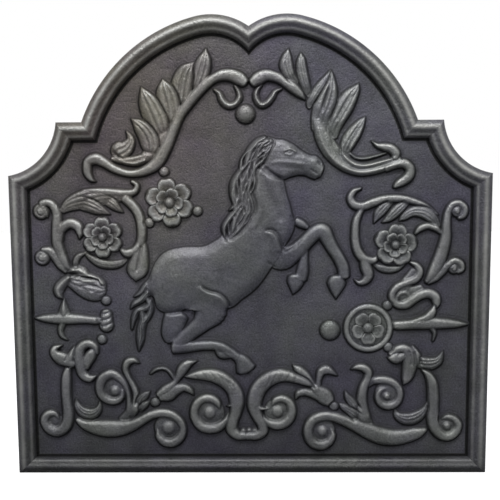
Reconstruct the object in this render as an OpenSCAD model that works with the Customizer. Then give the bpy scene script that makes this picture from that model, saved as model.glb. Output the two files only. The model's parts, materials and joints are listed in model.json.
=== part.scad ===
// Cast fireback: an arched plate with a moulded border and a field relief of a
// rearing horse among scrolls, leaves and roses.
// +Z is up, the ornamented face looks along -Y, and the origin lies under the
// middle of the plate at the height of its bottom edge.

/* [Plate] */
// Overall width across the straight sides
plate_w = 500; // [460:5:540]
// Overall height to the top of the two lobes
plate_h = 480; // [455:5:520]
// Thickness of the plate behind the relief
plate_t = 10; // [6:0.5:16]
// Distance from the top down to the shoulders above the straight sides
shoulder_drop = 161.5; // [150:0.5:175]

/* [Arched top] */
// Distance from the side edge in to the outer corner of a step
step_inset = 51; // [44:1:58]
// Distance from the top down to the flat steps beside the arch
step_drop = 107; // [97:1:117]
// Distance from the side edge in to the foot of the arch
arch_inset = 77.5; // [72:0.5:85]
// Radius of the hollow coves under the steps
cove_r = 61; // [50:1:90]
// Radius of the large arc of each lobe
lobe_r = 170; // [160:1:185]
// Distance from the centre line to the top of a lobe
lobe_top_x = 38.5; // [32:0.5:42]
// Depth of the notch between the lobes
notch_drop = 12; // [9:0.5:14]

/* [Border moulding] */
// Width of the moulding
border_w = 18.5; // [15:0.5:22]
// Height of the moulding above the field
border_rise = 10; // [8:0.5:14]
// Height of its outer wall above the field
border_wall = 5; // [3:0.5:7]
// Width of the fillet along the field
bead_w = 4.5; // [3:0.5:6]
// Height of that fillet above the field
bead_rise = 6; // [4:0.5:7.5]

/* [Horse relief] */
// Height of the body above the field
body_rise = 8.5; // [5:0.5:9.5]
// Height of the head
head_rise = 7.5; // [5:0.5:9.5]
// Height of the mane's locks
mane_rise = 8; // [5:0.5:9.5]
// Height of the tail's locks
tail_rise = 5.5; // [3:0.5:7]
// Height of the two legs nearer the viewer
near_leg_rise = 8.5; // [5:0.5:9.5]
// Height of the two legs behind
far_leg_rise = 5; // [3:0.5:6]

/* [Foliage relief] */
// Height of the acanthus sprays
acanthus_rise = 6.5; // [3:0.5:8]
// Height of the hooks under the crest
hook_rise = 5; // [3:0.5:7]
// Height of the roses at their petal rims
rose_rise = 5.5; // [3:0.5:7]
// Height of the scrolls beside the horse
scroll_rise = 6; // [3:0.5:8]
// Height of the leaf heads above the spindles
leaf_head_rise = 6; // [3:0.5:8]
// Height of the spindles
spindle_rise = 5.5; // [3:0.5:8]
// Height of the leaf tails below the spindles
leaf_tail_rise = 6; // [3:0.5:8]
// Height of the stems up the sides
side_stem_rise = 6; // [3:0.5:8]
// Height of the large scrolls along the bottom
base_scroll_rise = 6; // [3:0.5:8]
// Height of the buds over them
bud_rise = 5; // [3:0.5:8]
// Height of the ribbed scrolls in the middle
centre_rise = 6.5; // [3:0.5:8]

/* [Balls and medallion] */
// Radius of the ball under the crest
crest_ball_r = 9.8; // [7:0.2:11]
// Height of that ball above the field
crest_ball_rise = 6; // [3:0.5:7]
// Radius of the ball beside the medallion
side_ball_r = 10.6; // [7:0.2:11]
// Height of that ball above the field
side_ball_rise = 5.5; // [3:0.5:7]
// Radius of the small beads
bead_r = 5; // [3.5:0.1:5.5]
// Height of the small beads
small_bead_rise = 3; // [2:0.1:3.5]
// Outer radius of the medallion ring
medallion_r = 26; // [22:0.5:27]
// Width of the medallion ring
medallion_ring_w = 6.5; // [4:0.5:8]
// Height of the medallion's flower at its petal rims
flower_rise = 4; // [2:0.5:5]

/* [Hidden] */

iron = [0.30, 0.30, 0.32];
iron_lit = [0.40, 0.40, 0.42];
iron_warm = [0.36, 0.35, 0.33];
iron_dark = [0.24, 0.24, 0.26];

bend_limit = 62;
petal_steps = 4;
round_fn = 48;
arc_fn = 240;
boss_fn = 12;
boss_steps = 2;
// shares of a piece's own size by which its cutting shapes and ends run on past it
mitre_overrun = 0.4;
arc_overrun = 1.2;
nose_overrun = 1.5;
sink = 0.15;
// height of a relief form at its full half width, before raised() sets it
nominal_rise = 6;
least_half_w = 0.35;
stem_full_w = 6;
tail_full_w = 5;
ridge_full_w = 4;
leaf_share = 0.85;

// ---- plate outline: straight sides, hollow coves, flat steps and two lobes
half_w = plate_w / 2;
side_h = plate_h - shoulder_drop;
step_h = plate_h - step_drop;

function unit(v) = v / norm(v);
function left_of(v) = [-v[1], v[0]];
function angle_of(v) = atan2(v[1], v[0]);
function polar(c, r, a) = c + r * [cos(a), sin(a)];
function beyond(a, b) = a + (a - b) * mitre_overrun;

shoulder = [half_w, side_h];
step_corner = [half_w - step_inset, step_h];
arch_foot = [half_w - arch_inset, step_h];
cove_c = (shoulder + step_corner) / 2 - left_of(unit(step_corner - shoulder))
    * sqrt(pow(cove_r, 2) - pow(norm(step_corner - shoulder) / 2, 2));

nose_r = (pow(lobe_top_x, 2) + pow(notch_drop, 2)) / (2 * notch_drop);
nose_c = [lobe_top_x, plate_h - nose_r];
// the large arc runs from the foot and meets the nose arc without a corner
foot_gap = norm(nose_c - arch_foot);
foot_run = (pow(lobe_r, 2) - pow(lobe_r - nose_r, 2) + pow(foot_gap, 2)) / (2 * foot_gap);
foot_dir = unit(nose_c - arch_foot);
lobe_c = arch_foot + foot_dir * foot_run
    + left_of(foot_dir) * sqrt(pow(lobe_r, 2) - pow(foot_run, 2));
lobe_a0 = angle_of(arch_foot - lobe_c);
lobe_a1 = angle_of(nose_c - lobe_c);

// corners on the inner edge of the moulding
in_x = half_w - border_w;
in_z = step_h - border_w;
shoulder_in = [in_x, cove_c[1] - sqrt(pow(cove_r + border_w, 2) - pow(cove_c[0] - in_x, 2))];
step_in = [cove_c[0] - sqrt(pow(cove_r + border_w, 2) - pow(cove_c[1] - in_z, 2)), in_z];
foot_in = [lobe_c[0] + sqrt(pow(lobe_r - border_w, 2) - pow(in_z - lobe_c[1], 2)), in_z];
corner = [half_w, 0];
corner_in = [in_x, border_w];

// moulding section: distance in from the edge, height above the field
moulding = [[0, 0], [0, border_wall], [border_w * 0.1, border_wall + border_rise * 0.2],
    [border_w * 0.27, border_rise * 0.92], [border_w * 0.45, border_rise],
    [border_w * 0.58, border_rise * 0.9], [border_w - bead_w * 1.25, bead_rise * 0.98],
    [border_w - bead_w, bead_rise * 0.9], [border_w - bead_w / 2, bead_rise],
    [border_w - bead_w * 0.1, bead_rise * 0.75], [border_w, 0]];

// ---- the relief is drawn in mm for the usual plate; these carry it onto the real field
function fx(x) = x * kx;
function fz(z) = border_w + (z - drawn_z0) * kz;

// ---- swept and lofted relief forms
// sections across a form: place across from -1 to 1, share of the height; each runs on a
// little below the field, where raised() cuts it off
round_section = [[-1, 0], [-0.55, 0.95], [0.55, 0.95], [1, 0]];
leaf_section = [[-1, 0], [-0.62, 1], [0, 0.55], [0.62, 1], [1, 0]];
ridge_section = [[-1, 0], [0, 1], [1, 0]];
body_section = [[-1, 0], [-0.85, 0.6], [-0.4, 0.97], [0.4, 0.97], [0.85, 0.6], [1, 0]];

function spline(a, b, c, d, t) = 0.5 * (2 * b + (c - a) * t
    + (2 * a - 5 * b + 4 * c - d) * t * t + (3 * b - a - 3 * c + d) * t * t * t);
function way(v, i) = [v[i + 1][0] - v[i][0], v[i + 1][1] - v[i][1]];
function bend(v, i) = let (a = way(v, max(i - 1, 0)), b = way(v, min(i + 1, len(v) - 2)))
    acos(min(1, max(-1, a * b / (norm(a) * norm(b)))));
// a curve through the points, with one more row wherever it bends beyond the limit
function smooth(v) = [for (i = [0:len(v) - 2]) let (n = bend(v, i) > bend_limit ? 2 : 1)
    for (j = [0:n - 1])
        spline(v[max(i - 1, 0)], v[i], v[i + 1], v[min(i + 2, len(v) - 1)], j / n),
    v[len(v) - 1]];
function placed(v) = [for (p = v) [fx(p[0]), fz(p[1]), p[2] * kw]];
function along(v, i) = unit([v[min(i + 1, len(v) - 1)][0] - v[max(i - 1, 0)][0],
    v[min(i + 1, len(v) - 1)][1] - v[max(i - 1, 0)][1]]);
// rows of [left x, left z, right x, right z, height] from rows of [x, z, half width]
function ribbon(v, rise, full_w) = [for (i = [0:len(v) - 1])
    let (w = max(v[i][2], least_half_w), n = left_of(along(v, i)) * w)
    [v[i][0] + n[0], v[i][1] + n[1], v[i][0] - n[0], v[i][1] - n[1],
        rise * sqrt(min(1, w / full_w))]];

function below(a, b) = a + (a - b) * sink;
function sunk(s) = let (m = len(s)) [below(s[0], s[1]),
    for (k = [1:m - 2]) s[k], below(s[m - 1], s[m - 2])];

module loft(rows, section) {
    m = len(section);
    pts = [for (r = rows, s = sunk(section))
        [(r[0] * (1 - s[0]) + r[2] * (1 + s[0])) / 2, -r[4] * s[1],
            (r[1] * (1 - s[0]) + r[3] * (1 + s[0])) / 2]];
    skin = [for (i = [0:len(rows) - 2], k = [0:m - 1])
        let (a = i * m + k, b = i * m + (k + 1) % m)
        each [[a, b + m, b], [a, a + m, b + m]]];
    first = [for (k = [0:m - 1]) k];
    last = [for (k = [m - 1:-1:0]) (len(rows) - 1) * m + k];
    polyhedron(points = pts, faces = concat(skin, [first, last]));
}

// a tapering stem through points of [x, z, half width]
module vine(v, share = 1, full_w = stem_full_w, section = round_section) {
    loft(ribbon(smooth(placed(v)), nominal_rise * share, full_w), section);
}

module ridge(v, share = 1, full_w = ridge_full_w) {
    vine(v, share, full_w, ridge_section);
}

module leaf(v) {
    vine(v, leaf_share, stem_full_w, leaf_section);
}

// a body lofted between two outlines, rows of [x, z, x, z, height]
module body(v) {
    rows = [for (r = v) [fx(r[0]), fz(r[1]), fx(r[2]), fz(r[3]), r[4]]];
    loft(smooth(rows), body_section);
}

// what a carving leaves free for its neighbours: everything over their outlines
module clear_of() {
    rotate([90, 0, 0]) translate([0, 0, -plate_t]) linear_extrude(3 * plate_t)
        projection(cut = true) rotate([-90, 0, 0]) children();
}

// a carving cut off at the field and brought to its height above it
module raised(rise) {
    resize([0, rise, 0]) intersection() {
        children();
        translate([-plate_w, -2 * plate_t, -plate_h]) cube([2 * plate_w, 2 * plate_t,
            3 * plate_h]);
    }
}

// the room that a round piece takes up among its neighbours
module plug(x, z, r) {
    translate([fx(x), 1, fz(z)]) rotate([90, 0, 0])
        cylinder(h = plate_t, r = r, $fn = round_fn);
}

// a round knob within a carving, a slice of a ball
module boss(x, z, drawn_r, share = leaf_share) {
    r = drawn_r * kw;
    h = nominal_rise * share;
    ball = (r * r + h * h) / (2 * h);
    a0 = asin(1 - h / ball);
    rim = [for (i = [0:boss_steps]) let (a = a0 + (90 - a0) * i / boss_steps)
        [ball * cos(a), ball * sin(a) + h - ball]];
    translate([fx(x), 0, fz(z)]) rotate([90, 0, 0])
        rotate_extrude($fn = boss_fn) polygon(concat([[r, -1]], rim, [[0, -1]]));
}

// a ball that stands by itself
module ball(x, z, r, h) {
    ball_r = (r * r + h * h) / (2 * h);
    translate([fx(x), 0, fz(z)]) rotate([90, 0, 0]) rotate_extrude($fn = round_fn)
        intersection() {
            translate([0, h - ball_r]) circle(ball_r, $fn = round_fn * 2);
            square([r, h]);
        }
}

// a rose or flower: rings of [share of radius, share of height, lobe depth, lobe shift]
rose_rings = [[1, 0, 0.16, 0], [0.93, 0.72, 0.16, 0], [0.8, 1, 0.16, 0],
    [0.6, 0.62, 0.1, 0.5], [0.54, 1.12, 0.12, 0.5], [0.36, 0.95, 0.1, 0.5],
    [0.26, 0.8, 0, 0], [0.24, 1.25, 0, 0], [0.12, 1.42, 0, 0]];
plug_rings = [[1, -0.3, 0.16, 0], [1, 0.3, 0.16, 0]];
flower_rings = [[1, 0, 0.22, 0], [0.92, 0.8, 0.22, 0], [0.62, 1, 0.15, 0],
    [0.34, 0.55, 0, 0], [0.3, 1, 0, 0], [0.14, 1.25, 0, 0]];

module rose(at, r, rise, petals, turn_deg, rings) {
    n = petals * petal_steps;
    pts = [for (q = rings, i = [0:n - 1])
        let (a = turn_deg + 360 * i / n,
            lobe = abs(sin((a - turn_deg + q[3] * 360 / petals) * petals / 2)),
            rr = r * q[0] * (1 - q[2] * (1 - lobe)))
        [fx(at[0]) + rr * cos(a), -rise * q[1], fz(at[1]) + rr * sin(a)]];
    skin = [for (i = [0:len(rings) - 2], k = [0:n - 1])
        let (a = i * n + k, b = i * n + (k + 1) % n)
        each [[a, b + n, b], [a, a + n, b + n]]];
    floor_face = [for (k = [0:n - 1]) k];
    top_face = [for (k = [n - 1:-1:0]) (len(rings) - 1) * n + k];
    polyhedron(points = pts, faces = concat(skin, [floor_face, top_face]));
}

// ---- border: the moulding run straight or turned, and mitred between two corners
module wedge(v) {
    rotate([90, 0, 0]) linear_extrude(border_rise * arc_overrun) polygon(v);
}
module straight(a, b, a_in, b_in) {
    way = unit(b - a);
    intersection() {
        translate([a[0], 0, a[1]]) rotate([0, atan2(way[0], way[1]), 0]) rotate([0, 0, 180])
            translate([0, 0, -border_w * 2]) linear_extrude(norm(b - a) + border_w * 4)
                polygon(moulding);
        wedge([beyond(a, a_in), beyond(b, b_in), beyond(b_in, b), beyond(a_in, a)]);
    }
}
// side is 1 where the plate lies outside the circle and -1 where it lies inside
module turned(c, r, side, v) {
    intersection() {
        translate([c[0], 0, c[1]]) rotate([90, 0, 0]) rotate_extrude($fn = arc_fn)
            polygon([for (q = moulding) [r + side * q[0], q[1]]]);
        wedge(v);
    }
}
module cove() {
    turned(cove_c, cove_r, 1, [beyond(shoulder, shoulder_in), beyond(step_corner, step_in),
        beyond(step_in, step_corner), cove_c + unit(step_in + shoulder_in - 2 * cove_c)
        * (cove_r + border_w) * arc_overrun, beyond(shoulder_in, shoulder)]);
}
module lobe() {
    reach = lobe_r * arc_overrun;
    union() {
        turned(lobe_c, lobe_r, -1, [beyond(foot_in, arch_foot), beyond(arch_foot, foot_in),
            polar(lobe_c, reach, (lobe_a0 + lobe_a1) / 2), polar(lobe_c, reach, lobe_a1),
            nose_c]);
        turned(nose_c, nose_r, -1, [nose_c, polar(nose_c, nose_r * nose_overrun, lobe_a1),
            [0, plate_h + nose_r], [0, nose_c[1] + notch_drop]]);
    }
}

// ---- plate
module half_outline() {
    square([half_w, side_h]);
    difference() {
        square([half_w, step_h]);
        translate(cove_c) circle(cove_r, $fn = arc_fn);
    }
    square([nose_c[0], nose_c[1]]);
    intersection() {
        translate(nose_c) circle(nose_r, $fn = arc_fn);
        square([plate_w, plate_h]);
    }
    intersection() {
        translate(lobe_c) circle(lobe_r, $fn = arc_fn);
        polygon([[0, step_h - border_w], [half_w, step_h - border_w], [half_w, plate_h * arc_overrun],
            polar(lobe_c, lobe_r * arc_overrun, lobe_a1), nose_c, [0, nose_c[1]]]);
        translate([0, step_h - border_w]) square([arch_foot[0], plate_h]);
    }
}
module back_plate() {
    color(iron) rotate([90, 0, 0]) translate([0, 0, -plate_t]) linear_extrude(plate_t) {
        half_outline();
        mirror([1, 0, 0]) half_outline();
    }
}
module border_bottom() {
    color(iron_lit) straight([-half_w, 0], corner, [-in_x, border_w], corner_in);
}
module border_side_right() { color(iron) straight(corner, shoulder, corner_in, shoulder_in); }
module border_cove_right() { color(iron_lit) cove(); }
module border_step_right() {
    color(iron) straight(step_corner, arch_foot, step_in, foot_in);
}
module border_lobe_right() { color(iron_lit) lobe(); }
module border_lobe_left() { mirror([1, 0, 0]) border_lobe_right(); }
module border_step_left() { mirror([1, 0, 0]) border_step_right(); }
module border_cove_left() { mirror([1, 0, 0]) border_cove_right(); }
module border_side_left() { mirror([1, 0, 0]) border_side_right(); }

// ---- horse
trunk = [[-106, 212, -101, 190, 4], [-99, 228, -97, 177, 7.5], [-88, 239, -80, 172.5, 8.5],
    [-70, 243.5, -58, 181, 8.5], [-50, 244, -24, 178, 8], [-40, 248, -8, 188, 8],
    [-31, 254, 8, 201, 8], [-24, 262, 23, 222, 8.2], [-17, 272, 33, 238, 8],
    [-12, 284, 46, 262, 7.5], [-9, 298, 43, 283, 7.2], [-5, 315, 38, 300, 7],
    [0, 330, 35, 313, 6.5], [8, 345, 30, 322, 5]];
head = [[19, 357.5, 8, 326, 4.5], [27, 355, 20, 317, 6.5], [36, 354, 34, 313, 7.5],
    [46, 349, 42, 315.5, 7.5], [54, 343, 50, 317.3, 7], [62, 338.5, 57, 317, 6.5],
    [69, 337.5, 63, 314.5, 6.8], [74.5, 332.5, 67.5, 313, 6], [77, 324, 73.5, 317, 4]];
brow = [[30, 341, 1], [35, 345, 1.8], [41, 345.5, 1.8], [48, 341.5, 1.6], [55, 337, 0.8]];
cheek = [[40, 331, 1], [49, 330.5, 1.8], [58, 327.5, 1.2]];
nostril = [69, 330, 2];
eye = [41, 341.3, 2.2];
ear = [[20, 349, 2.5], [22.5, 354, 2.8], [23.5, 359, 0.8]];

mane_locks = [
    [[17, 356, 3], [9, 351.5, 4.5], [2, 343, 5], [-2, 334, 4.5], [-5.5, 325, 1.5]],
    [[20, 353, 3], [13, 348, 4], [8.5, 339, 4], [6.5, 330, 3], [6, 324.5, 1]],
    [[21, 349, 2], [17.5, 342, 3.5], [14.5, 334, 3.2], [11, 327, 1]],
    [[-3, 329, 3.4], [-10, 320, 4.2], [-15.5, 309, 5], [-16, 298, 4.8], [-14, 288, 4.2],
        [-21, 281.5, 0.8]],
    [[0, 326, 4.1], [-5, 315, 5.1], [-8, 303, 5.1], [-7, 292, 4.6], [-12, 283, 4.1],
        [-20, 274, 3.8], [-26.5, 263, 3.4], [-25, 250, 0.8]],
    [[3, 323, 3], [1, 311, 4], [-1, 300, 4.2], [2.5, 290, 4], [3.5, 281, 3], [0, 273, 0.8]],
    [[-2, 299, 3], [-4, 288, 5], [-3, 277, 5.2], [-8, 266, 5], [-15, 257.5, 3.6],
        [-21, 252, 0.8]],
    [[-9, 283, 4], [-14, 273, 5.2], [-17, 264, 4.5], [-18.5, 256, 1.5]]];

tail_locks = [
    [[-102, 209, 3.2], [-109, 203, 3.5], [-115, 195.5, 3], [-122, 191, 0.8]],
    [[-101, 204, 3.2], [-107, 196, 4], [-114, 188.5, 3.8], [-122, 183.5, 3],
        [-126, 178.5, 0.8]],
    [[-109, 190, 2], [-106.5, 182, 3.5], [-112, 178, 3.5], [-119, 176, 3.2],
        [-123, 168, 3], [-125.5, 156, 0.8]],
    [[-105, 187, 1.5], [-105, 178, 3], [-108, 170, 3.2], [-114, 163, 3.5],
        [-119.5, 154.5, 0.8]],
    [[-115, 176, 3], [-113.5, 166, 4.2], [-116, 155, 4.5], [-117, 144, 4],
        [-118.5, 133, 0.8]]];

near_arm = [[19.5, 240.5, 13], [33, 231.5, 12.8], [46, 237, 9.6], [57, 247, 8], [68, 257.5, 8],
    [76, 259, 8.5], [81.5, 250, 7.2], [86.5, 241, 6.5], [92.5, 231.5, 6.3],
    [97.3, 221, 6.4], [98.2, 211.4, 6.1]];
near_hoof = [[91, 210, 8], [90.5, 204, 9.6], [90, 197, 6.5], [90, 188.5, 0.8]];
far_arm = [[48, 270, 4.5], [54, 267, 4.5], [60, 263, 2.5]];
far_cannon = [[59.5, 239, 1.5], [56.5, 229, 4.5], [55, 218, 6.3], [53, 209, 6.5]];
far_hoof = [[48, 211, 8.5], [47.5, 205, 8.5], [46.5, 199, 5.5], [45, 193.5, 0.8]];
near_thigh = [[-62, 216, 17], [-57, 200, 21], [-48, 186, 22], [-43.5, 175, 18.3],
    [-51, 163, 10.5], [-60, 155, 8.5], [-70, 146.5, 8], [-78, 139, 8.3]];
near_shank = [[-81, 137, 7.5], [-69, 136.5, 6], [-55, 138.2, 5.5], [-42, 138.7, 5.4],
    [-31, 136.8, 5.2], [-21, 131, 5], [-14, 125.5, 5]];
near_heel = [[-15, 126.5, 4.6], [-9, 121, 7.8], [-5, 112.8, 10.6]];
far_thigh = [[-78, 171, 12.5], [-82, 160, 11.5], [-86, 150, 8.5], [-87, 142.5, 4]];
far_heel = [[-37, 134, 1.5], [-31.5, 128.5, 4], [-24, 127.5, 3.6], [-19, 126, 1.2]];

// half widths at which the limbs and features reach their full height
arm_full_w = 10;
thigh_full_w = 18;
shank_full_w = 7;
hoof_full_w = 9;
brow_full_w = 1.8;
ear_full_w = 2.8;

module mane() { for (v = mane_locks) ridge(v); }
module near_foreleg() {
    vine(near_arm, 1, arm_full_w);
    vine(near_hoof, 0.8, hoof_full_w);
}
module near_hindleg() {
    vine(near_thigh, 1, thigh_full_w);
    vine(near_shank, 0.75, shank_full_w);
    vine(near_heel, 0.7, hoof_full_w);
}
module horse_mane() { color(iron_dark) raised(mane_rise) mane(); }
module horse_head() {
    color(iron_lit) raised(head_rise) difference() {
        union() {
            body(head);
            ridge(brow, 1.3, brow_full_w);
            ridge(cheek, 1.25, brow_full_w);
            ridge(ear, 1.3, ear_full_w);
            boss(eye[0], eye[1], eye[2], 1.3);
            boss(nostril[0], nostril[1], nostril[2], 1.2);
        }
        clear_of() mane();
    }
}
module foreleg_near() { color(iron_lit) raised(near_leg_rise) near_foreleg(); }
module hindleg_near() { color(iron_lit) raised(near_leg_rise) near_hindleg(); }
module foreleg_far() {
    color(iron) raised(far_leg_rise) difference() {
        union() {
            vine(far_arm, 1, shank_full_w);
            vine(far_cannon);
            vine(far_hoof, 1.05, hoof_full_w);
        }
        clear_of() {
            near_foreleg();
            body(trunk);
        }
    }
}
module hindleg_far() {
    color(iron) raised(far_leg_rise) difference() {
        union() {
            vine(far_thigh, 1, arm_full_w);
            vine(far_heel, 0.8, ridge_full_w);
        }
        clear_of() {
            near_hindleg();
            body(trunk);
        }
    }
}
module horse_tail() {
    color(iron_dark) raised(tail_rise) difference() {
        for (v = tail_locks) ridge(v);
        clear_of() body(trunk);
    }
}
module horse_body() {
    color(iron_lit) raised(body_rise) difference() {
        body(trunk);
        clear_of() {
            mane();
            body(head);
            near_foreleg();
            near_hindleg();
        }
    }
}

// ---- crest and acanthus sprays
acanthus_left_stem = [[-4, 411.5, 5], [-9.5, 416, 6.8], [-17, 419.5, 6.6], [-26, 420, 6],
    [-36, 416.5, 5], [-46, 409, 5.3], [-56, 399, 5.6], [-65, 388, 5.4], [-72, 378, 5.2],
    [-80, 360, 5.6], [-87, 345, 6.3], [-96, 331, 6.6], [-108, 323.3, 5.3],
    [-120, 320.4, 4], [-130, 321.5, 4], [-141, 326, 4.6], [-150, 331.8, 5.2],
    [-159, 335.8, 6.2], [-167, 332, 5.2], [-168, 322, 4.7], [-164.5, 315, 3],
    [-160.5, 312.3, 0.8]];
acanthus_left_rib = [[-92, 360, 2], [-97, 350, 3.4], [-101, 341, 3.8], [-108, 334, 3.4],
    [-117, 330.8, 3], [-125, 331, 2.8], [-132, 333, 2.6], [-139, 337.5, 2]];
acanthus_left_leaves = [
    [[-51, 406, 4], [-49, 416, 8.3], [-47.6, 427, 9.3], [-46.5, 436, 6.3], [-44.7, 445, 0.6]],
    [[-71, 385, 2], [-68.5, 397, 6], [-67, 408, 9.3], [-66.3, 417, 9.4], [-63, 425, 5.6],
        [-57.5, 431.7, 0.6]],
    [[-80.5, 364, 2], [-80.5, 375, 5.5], [-83, 386, 8.5], [-85.5, 397, 9], [-87, 406.5, 5.8],
        [-89.8, 415.4, 0.6]],
    [[-91, 357, 2.5], [-94, 368, 6.5], [-99, 378, 9.8], [-103, 388, 9.6],
        [-104.5, 398, 7.2], [-111.5, 407, 0.6]],
    [[-99, 341, 3], [-100, 351, 7], [-104, 360.5, 7.6], [-110, 368, 6], [-116, 373, 3.6],
        [-122.8, 375.4, 0.6]],
    [[-137, 335, 2.5], [-142, 342, 6.5], [-140, 349, 6.2], [-135, 353.5, 3.6],
        [-130.5, 356.5, 1]],
    [[-138, 337, 2], [-131, 342.5, 3.4], [-125.3, 349, 4.6], [-124.7, 356, 4],
        [-128.3, 363.4, 0.6]]];

acanthus_right_stem = [[3.5, 411.5, 5], [9.5, 416, 6.8], [17, 419.3, 6.4], [25, 418.3, 5.5],
    [34, 414.5, 5.2], [44, 407.5, 5.6], [52, 400.5, 4.2], [57, 395, 1]];
acanthus_right_band = [[63, 383, 2.5], [68, 373, 6], [74, 361, 9.5], [80, 351, 10],
    [88, 339, 9.4], [98.5, 327, 7.8], [113, 320.7, 6.4], [130, 323, 5.9], [142, 327, 6.2],
    [152, 330, 5.8], [160, 328.8, 5.5], [166.3, 323, 5.4], [164.5, 316, 5],
    [158, 311, 4.3], [149.8, 305.3, 2.4]];
acanthus_right_rib = [[104, 339, 1.4], [110, 334.8, 1.7], [119, 334, 1.7], [130, 336.4, 1.5],
    [141, 339.5, 0.8]];
acanthus_right_leaves = [
    [[43, 410, 4], [39.5, 420, 6.4], [37, 429, 8], [37.7, 437, 5.8], [39.5, 445.3, 0.6]],
    [[57.5, 403, 3], [55, 413, 5], [53, 422, 5.4], [52.3, 431, 5], [52, 441.2, 0.6]],
    [[61, 386, 3], [66, 396, 3.5], [71, 405, 3.4], [76.5, 414, 2.7], [81.8, 423.2, 0.6]],
    [[73, 366, 6.5], [74.5, 379, 9], [78, 390, 9.6], [81, 401, 8], [82, 411, 4.6],
        [82.8, 421, 0.6]],
    [[83.5, 359.5, 6.5], [89, 371, 8], [95, 381, 9.3], [100.8, 391, 9], [104.5, 400, 6.6],
        [111.2, 409.3, 0.6]],
    [[98, 338, 3], [99.5, 350, 6.8], [104, 359, 8.4], [109, 366.5, 7], [113, 371.5, 4.2],
        [118, 376, 0.6]],
    [[153.5, 335, 3], [151.5, 342.5, 5.8], [145, 347, 6], [137.5, 345.8, 4.3],
        [131, 347.8, 2.3], [126, 351.4, 0.6]]];
hook_left = [[-35.5, 405, 1.2], [-30.5, 401.5, 2.8], [-28, 395.5, 3.6], [-24.5, 391, 3.8],
    [-19, 388.8, 3.5], [-13, 391.5, 3.3], [-9.8, 397, 3.1], [-10.8, 403, 2.4],
    [-14.5, 409, 1]];
hook_right = [[33, 405.3, 1], [27.3, 402.8, 2.4], [23.5, 397, 3.2], [18.5, 391.3, 3.4],
    [12.5, 389.6, 3.4], [8.2, 394, 3.3], [7, 400, 3], [9, 405.5, 2.2], [13, 409.5, 1]];
crest_ball_at = [-3.7, 380.5];

module acanthus(stems, rib, leaves) {
    for (v = stems) vine(v);
    ridge(rib, 0.85);
    for (v = leaves) leaf(v);
}
module left_spray() {
    acanthus([acanthus_left_stem], acanthus_left_rib, acanthus_left_leaves);
}
module right_spray() {
    acanthus([acanthus_right_stem, acanthus_right_band], acanthus_right_rib,
        acanthus_right_leaves);
}
module acanthus_left() { color(iron_warm) raised(acanthus_rise) left_spray(); }
module acanthus_right() {
    color(iron_warm) raised(acanthus_rise) difference() {
        right_spray();
        clear_of() left_spray();
    }
}
module hook(v) {
    raised(hook_rise) difference() {
        ridge(v);
        clear_of() {
            left_spray();
            right_spray();
        }
    }
}
module crest_hook_left() { color(iron) hook(hook_left); }
module crest_hook_right() { color(iron) hook(hook_right); }
module crest_ball() {
    color(iron_lit) ball(crest_ball_at[0], crest_ball_at[1], crest_ball_r, crest_ball_rise);
}

// ---- roses, medallion and balls
rose_top_at = [-83.5, 290];
rose_top_r = 26;
rose_top_petal_count = 6;
rose_top_turn_deg = 8;
rose_left_at = [-154, 254];
rose_left_r = 22;
rose_left_petal_count = 6;
rose_left_turn_deg = 0;
rose_right_at = [151.5, 244.5];
rose_right_r = 23;
rose_right_petal_count = 5;
rose_right_turn_deg = -24;
medallion_at = [124, 156.5];
flower_gap = 1.5;
flower_petal_count = 5;
flower_turn_deg = -72;
side_ball_at = [84, 154.5];
bead_spots = [[-88.5, 322], [-54.5, 281], [-105, 269], [-152.3, 187], [-157.8, 145.2],
    [-102.5, 76.5], [88.5, 71.7], [144, 180.5], [145.6, 135.8]];

module top_rose(rings) {
    rose(rose_top_at, rose_top_r * kw, rose_rise, rose_top_petal_count, rose_top_turn_deg,
        rings);
}
module left_rose(rings) {
    rose(rose_left_at, rose_left_r * kw, rose_rise, rose_left_petal_count,
        rose_left_turn_deg, rings);
}
module right_rose(rings) {
    rose(rose_right_at, rose_right_r * kw, rose_rise, rose_right_petal_count,
        rose_right_turn_deg, rings);
}
module rose_top() { color(iron_lit) top_rose(rose_rings); }
module rose_left() { color(iron_lit) left_rose(rose_rings); }
module rose_right() { color(iron_lit) right_rose(rose_rings); }
module medallion_plug() { plug(medallion_at[0], medallion_at[1], medallion_r); }
module medallion() {
    ring_half = medallion_ring_w / 2;
    color(iron_lit) union() {
        translate([fx(medallion_at[0]), 0, fz(medallion_at[1])]) rotate([90, 0, 0])
            rotate_extrude($fn = round_fn) translate([medallion_r - ring_half, 0])
                intersection() {
                    circle(ring_half, $fn = round_fn / 2);
                    translate([-ring_half, 0]) square([medallion_ring_w, ring_half]);
                }
        rose(medallion_at, medallion_r - medallion_ring_w - flower_gap, flower_rise,
            flower_petal_count, flower_turn_deg, flower_rings);
    }
}
module side_ball() {
    color(iron_lit) ball(side_ball_at[0], side_ball_at[1], side_ball_r, side_ball_rise);
}
module bead_plugs() {
    for (p = bead_spots) plug(p[0], p[1], bead_r);
}
module beads() {
    color(iron_lit) for (p = bead_spots) ball(p[0], p[1], bead_r, small_bead_rise);
}

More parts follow.
